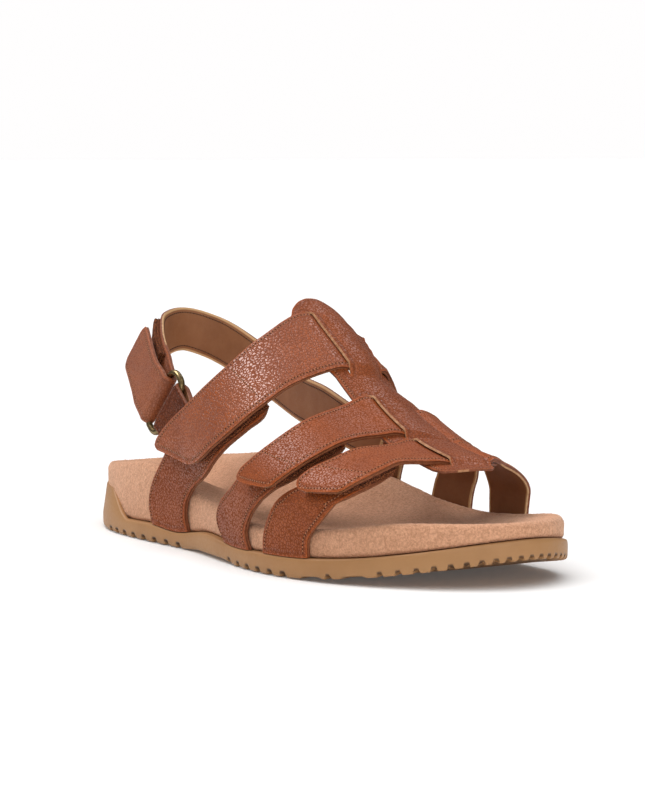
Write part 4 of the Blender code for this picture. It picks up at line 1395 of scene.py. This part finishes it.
class Band:
    """A flat band along a path, with its cross direction and width at each row."""

    def __init__(self, centres, crosses, widths):
        along = unit(np.gradient(centres, axis=0))
        self.across = unit(crosses - along * (crosses * along).sum(axis=1, keepdims=True))
        self.normal = np.cross(along, self.across)
        self.centres = centres
        self.widths = widths

    def at(self, row, v, rise):
        """Points at rows of the path and shares of the width, at a height over the middle layer."""
        reach = ((v - 0.5) * self.widths[row])[:, None]
        return self.centres[row] + self.across[row] * reach + self.normal[row] * np.asarray(rise)[..., None]

    def sheet(self, columns, rise):
        bm, u, v = grid(len(self.centres) - 1, columns)
        row = np.round(u * (len(self.centres) - 1)).astype(int)
        row_layer = bm.faces.layers.int.new("row")
        bm.verts.index_update()
        for face in bm.faces:
            face[row_layer] = int(min(row[vert.index] for vert in face.verts))
        turned = turned_down(v, self.widths[row])
        lay(bm, self.at(row, v, rise - math.copysign(1.0, rise) * turned))
        bm.normal_update()
        lean = sum(face.normal.dot(Vector(self.normal[face[row_layer]])) for face in bm.faces)
        if lean * rise < 0.0:
            bmesh.ops.reverse_faces(bm, faces=bm.faces)
        mark_edges(bm)
        return bm

    def seam(self, first, last, side, rise):
        rows = np.arange(first, last)
        share = SLING_STITCH_INSET / self.widths[rows]
        points = self.at(rows, share if side < 0 else 1.0 - share, np.full(len(rows), rise))
        return points, self.normal[rows] * math.copysign(1.0, rise)


def make_sling():
    centres, crosses, widths = sling_path()
    band = Band(centres, crosses, widths)
    half = SLING_LEATHER / 2
    outside = math.copysign(1.0, np.dot(band.normal[LOOP_ROWS - 1], OUTWARD))
    leather = [TAB_LEATHER, TAB_LEATHER, PAINTED_EDGE]
    face = band.sheet(SLING_COLUMNS, outside * half)
    piece = finished("heel_sling", face, leather, ["heel_sling"])
    thicken(piece, SLING_LEATHER - SLING_LINING)
    back = band.sheet(SLING_COLUMNS, -outside * half)
    row_layer = back.faces.layers.int["row"]
    for cell in back.faces:
        cell.material_index = RAW_FROM if cell[row_layer] >= LOOP_ROWS - LINING_STOP_ROWS else 0
    lining = [BARE_LINING, BARE_LINING, RAW_EDGE]
    piece = finished("heel_sling_lining", back, lining + leather)
    thicken(piece, SLING_LINING, LINING_ROUNDING)
    seams, inside = [], []
    start, stop = SLING_SEAM_ROWS[0], LOOP_ROWS - SLING_SEAM_ROWS[1]
    tab_start, tab_stop = LOOP_ROWS + FOLD_ROWS + TAB_SEAM_ROWS[0], len(centres) - TAB_SEAM_ROWS[1]
    sewn_at = outside * (half - STITCH_SINK)
    for side in (-1, 1):
        seams.append(band.seam(start, stop, side, sewn_at))
        inside.append(band.seam(start, stop, side, -sewn_at))
        seams.append(band.seam(tab_start, tab_stop, side, -sewn_at))
    sew("stitching_sling", seams)
    sew("stitching_sling_lining", inside, DARK_THREAD)
    rows = np.arange(int(SLING_TAPE_START * LOOP_ROWS), LOOP_ROWS - SLING_TAPE_STOP_ROWS)
    away = np.sign((band.normal[rows] * OUTWARD).sum(axis=1))[:, None]
    tapes = (
        ("loop", LOOP_RISE, LOOP_THICKNESS, ["fastener_sling"]),
        ("hook", HOOK_RISE, HOOK_THICKNESS, []),
    )
    for kind, rise, thickness, replaced in tapes:
        middles = centres[rows] + band.normal[rows] * away * (half + rise + thickness / 2)
        tape = Band(middles, crosses[rows], widths[rows] - 2.0 * TAPE_INSET)
        sheet = tape.sheet(SLING_TAPE_COLUMNS, thickness / 2)
        piece = finished(kind + "_tape_sling", sheet, [LOOP_PILE] * 3, replaced)
        thicken(piece, thickness, TAPE_ROUNDING)


def make_keeper():
    """Short band folded round the ring's front bar, both layers running inside the instep leg."""
    level = unit(np.array((LONG[0], 0.0, LONG[2])))
    shares = np.linspace(0.0, 1.0, KEEPER_ROWS + 1)[:, None]
    apart = FOLD_RADIUS + ((SLING_LEATHER + LAYER_GAP) / 2 - FOLD_RADIUS) * ease(shares)
    layers = {}
    for side in (-1.0, 1.0):
        out = side * apart + KEEPER_REACH_OUT * ease(shares)
        layers[side] = BAR_FRONT + SHORT * KEEPER_LENGTH * shares + OUTWARD * out
    angles = np.linspace(0.0, math.pi, FOLD_ROWS + 1)[1:-1, None]
    fold = BAR_FRONT + (-SHORT * np.sin(angles) - OUTWARD * np.cos(angles)) * FOLD_RADIUS
    tail = unit(LONG + (level - LONG) * shares)
    centres = np.concatenate([layers[-1.0][::-1], fold, layers[1.0]])
    crosses = np.concatenate([tail[::-1], np.repeat(LONG[None], len(fold), axis=0), tail])
    band = Band(centres + LONG * KEEPER_SHIFT, crosses, np.full(len(centres), KEEPER_WIDTH))
    sheet = band.sheet(KEEPER_COLUMNS, SLING_LEATHER / 2)
    # Its face takes the darkened keeper leather: painted shade.
    finishes = [SHADED_KEEPER_LEATHER, LINING, PAINTED_EDGE]
    piece = finished("ring_keeper", sheet, finishes, ["ring_keeper"])
    thicken(piece, SLING_LEATHER)


def make_ring():
    """Brass wire: a round section pushed along the bars and spun round the corners."""
    bm = bmesh.new()
    reach_long = (RING_INSIDE + RING_WIRE) / 2 - RING_CORNER
    reach_short = RING_BAR_SPACING / 2 - RING_CORNER
    start = RING_CENTRE + LONG * reach_long + SHORT * (reach_short + RING_CORNER)
    basis = Matrix((SHORT, OUTWARD, LONG)).transposed().to_4x4()
    basis.translation = metres(start)
    radius = RING_WIRE / 2 * MM
    made = bmesh.ops.create_circle(bm, segments=RING_SEGMENTS, radius=radius, matrix=basis)["verts"]
    section = list({edge for vert in made for edge in vert.link_edges})
    corners = ((1, 1), (1, -1), (-1, -1), (-1, 1))
    for sign_long, sign_short in corners:
        pivot = RING_CENTRE + LONG * sign_long * reach_long + SHORT * sign_short * reach_short
        turned = bmesh.ops.spin(
            bm, geom=section, cent=metres(pivot), axis=OUTWARD, angle=math.pi / 2,
            steps=CORNER_STEPS, use_merge=False,
        )["geom_last"]
        section = [item for item in turned if isinstance(item, bmesh.types.BMEdge)]
        heading = -SHORT * sign_short if sign_long == sign_short else -LONG * sign_long
        length = 2.0 * (reach_short if sign_long == sign_short else reach_long)
        verts, section = pushed_rim(bm, section)
        bmesh.ops.translate(bm, verts=verts, vec=heading * length * MM)
    close_up(bm, RING_MERGE)
    finished("ring", bm, [RING_BRASS], ["ring"])


# Stage


def make_stage():
    bm = bmesh.new()
    bmesh.ops.create_grid(bm, x_segments=1, y_segments=1, size=FLOOR_METRES)
    bmesh.ops.translate(bm, verts=bm.verts, vec=(0.0, 0.0, -FLOOR_DROP * MM))
    mesh = mesh_from("floor", bm)
    paper, _, shader, _ = new_finish("white_paper", Roughness=0.9, Specular_IOR_Level=0.1)
    shader.inputs["Base Color"].default_value = (0.9, 0.9, 0.9, 1.0)
    shader.inputs["Emission Color"].default_value = (1.0, 1.0, 1.0, 1.0)
    shader.inputs["Emission Strength"].default_value = FLOOR_GLOW
    mesh.materials.append(paper)
    add_object("floor", mesh)
    world = bpy.data.worlds.new("studio")
    world.use_nodes = True
    sky = world.node_tree.nodes["Background"]
    sky.inputs["Color"].default_value = (1.0, 0.99, 0.99, 1.0)
    seen = world.node_tree.nodes.new("ShaderNodeLightPath").outputs["Is Camera Ray"]
    strength = ramp(world.node_tree, seen, 0.0, 1.0, SKY_LIGHT, SKY_SEEN)
    world.node_tree.links.new(strength, sky.inputs["Strength"])
    bpy.context.scene.world = world
    bpy.context.scene.view_settings.view_transform = "Standard"


def light_link(name, state):
    """Receivers of a light: the floor left out, or the floor alone."""
    receivers = bpy.data.collections.new(name)
    receivers.objects.link(bpy.data.objects["floor"])
    receivers.collection_objects[0].light_linking.link_state = state
    return receivers


def turn_to(item, back):
    """Turn a light or camera so that its back looks along a direction."""
    item.rotation_mode = "QUATERNION"
    item.rotation_quaternion = back.to_track_quat("Z", "Y")


def soft_light(name, direction, spread, strength, colour, receivers=None):
    """A wide, distant studio light from a direction, its spread in degrees."""
    lamp = bpy.data.lights.new(name, "SUN")
    lamp.angle = math.radians(spread)
    lamp.energy = strength
    lamp.color = colour
    light = add_object(name, lamp)
    turn_to(light, Vector(direction))
    light.light_linking.receiver_collection = receivers


def make_lights():
    on_shoe = light_link("off_the_floor", "EXCLUDE")
    on_floor = light_link("floor_only", "INCLUDE")
    soft_light("left_light", (-0.45, -0.3, 0.84), 32.0, 2.3, (1.0, 0.97, 0.98), on_shoe)
    soft_light("far_light", (-0.28, 0.56, 0.77), 24.0, 0.45, (0.9, 0.94, 1.0), on_shoe)
    soft_light("front_light", (0.85, -0.15, 0.55), 70.0, 1.55, (1.0, 0.98, 0.96), on_shoe)
    soft_light("near_light", (0.5, -0.8, 0.25), 60.0, 0.2, (1.0, 0.98, 0.96), on_shoe)
    soft_light("overhead_light", (0.05, -0.1, 1.0), 120.0, 0.4, (1.0, 1.0, 1.0))
    soft_light("floor_light", (0.3, -0.4, 1.0), 80.0, 3.1, (1.0, 1.0, 1.0), on_floor)


def make_camera():
    azimuth, elevation = math.radians(CAMERA_AZIMUTH), math.radians(CAMERA_ELEVATION)
    back = Vector((
        math.sin(azimuth) * math.cos(elevation),
        -math.cos(azimuth) * math.cos(elevation),
        math.sin(elevation),
    ))
    lens = bpy.data.cameras.new("camera")
    lens.lens = CAMERA_LENS
    lens.sensor_width = 36.0
    lens.clip_start = 0.05
    camera = add_object("camera", lens)
    camera.location = Vector(metres(CAMERA_TARGET)) + back * CAMERA_DISTANCE * MM
    turn_to(camera, back)
    bpy.context.scene.camera = camera


make_camera()
make_stage()
make_lights()
make_outsole()
make_footbed()
make_straps()
make_spine()
make_sling()
make_keeper()
make_ring()
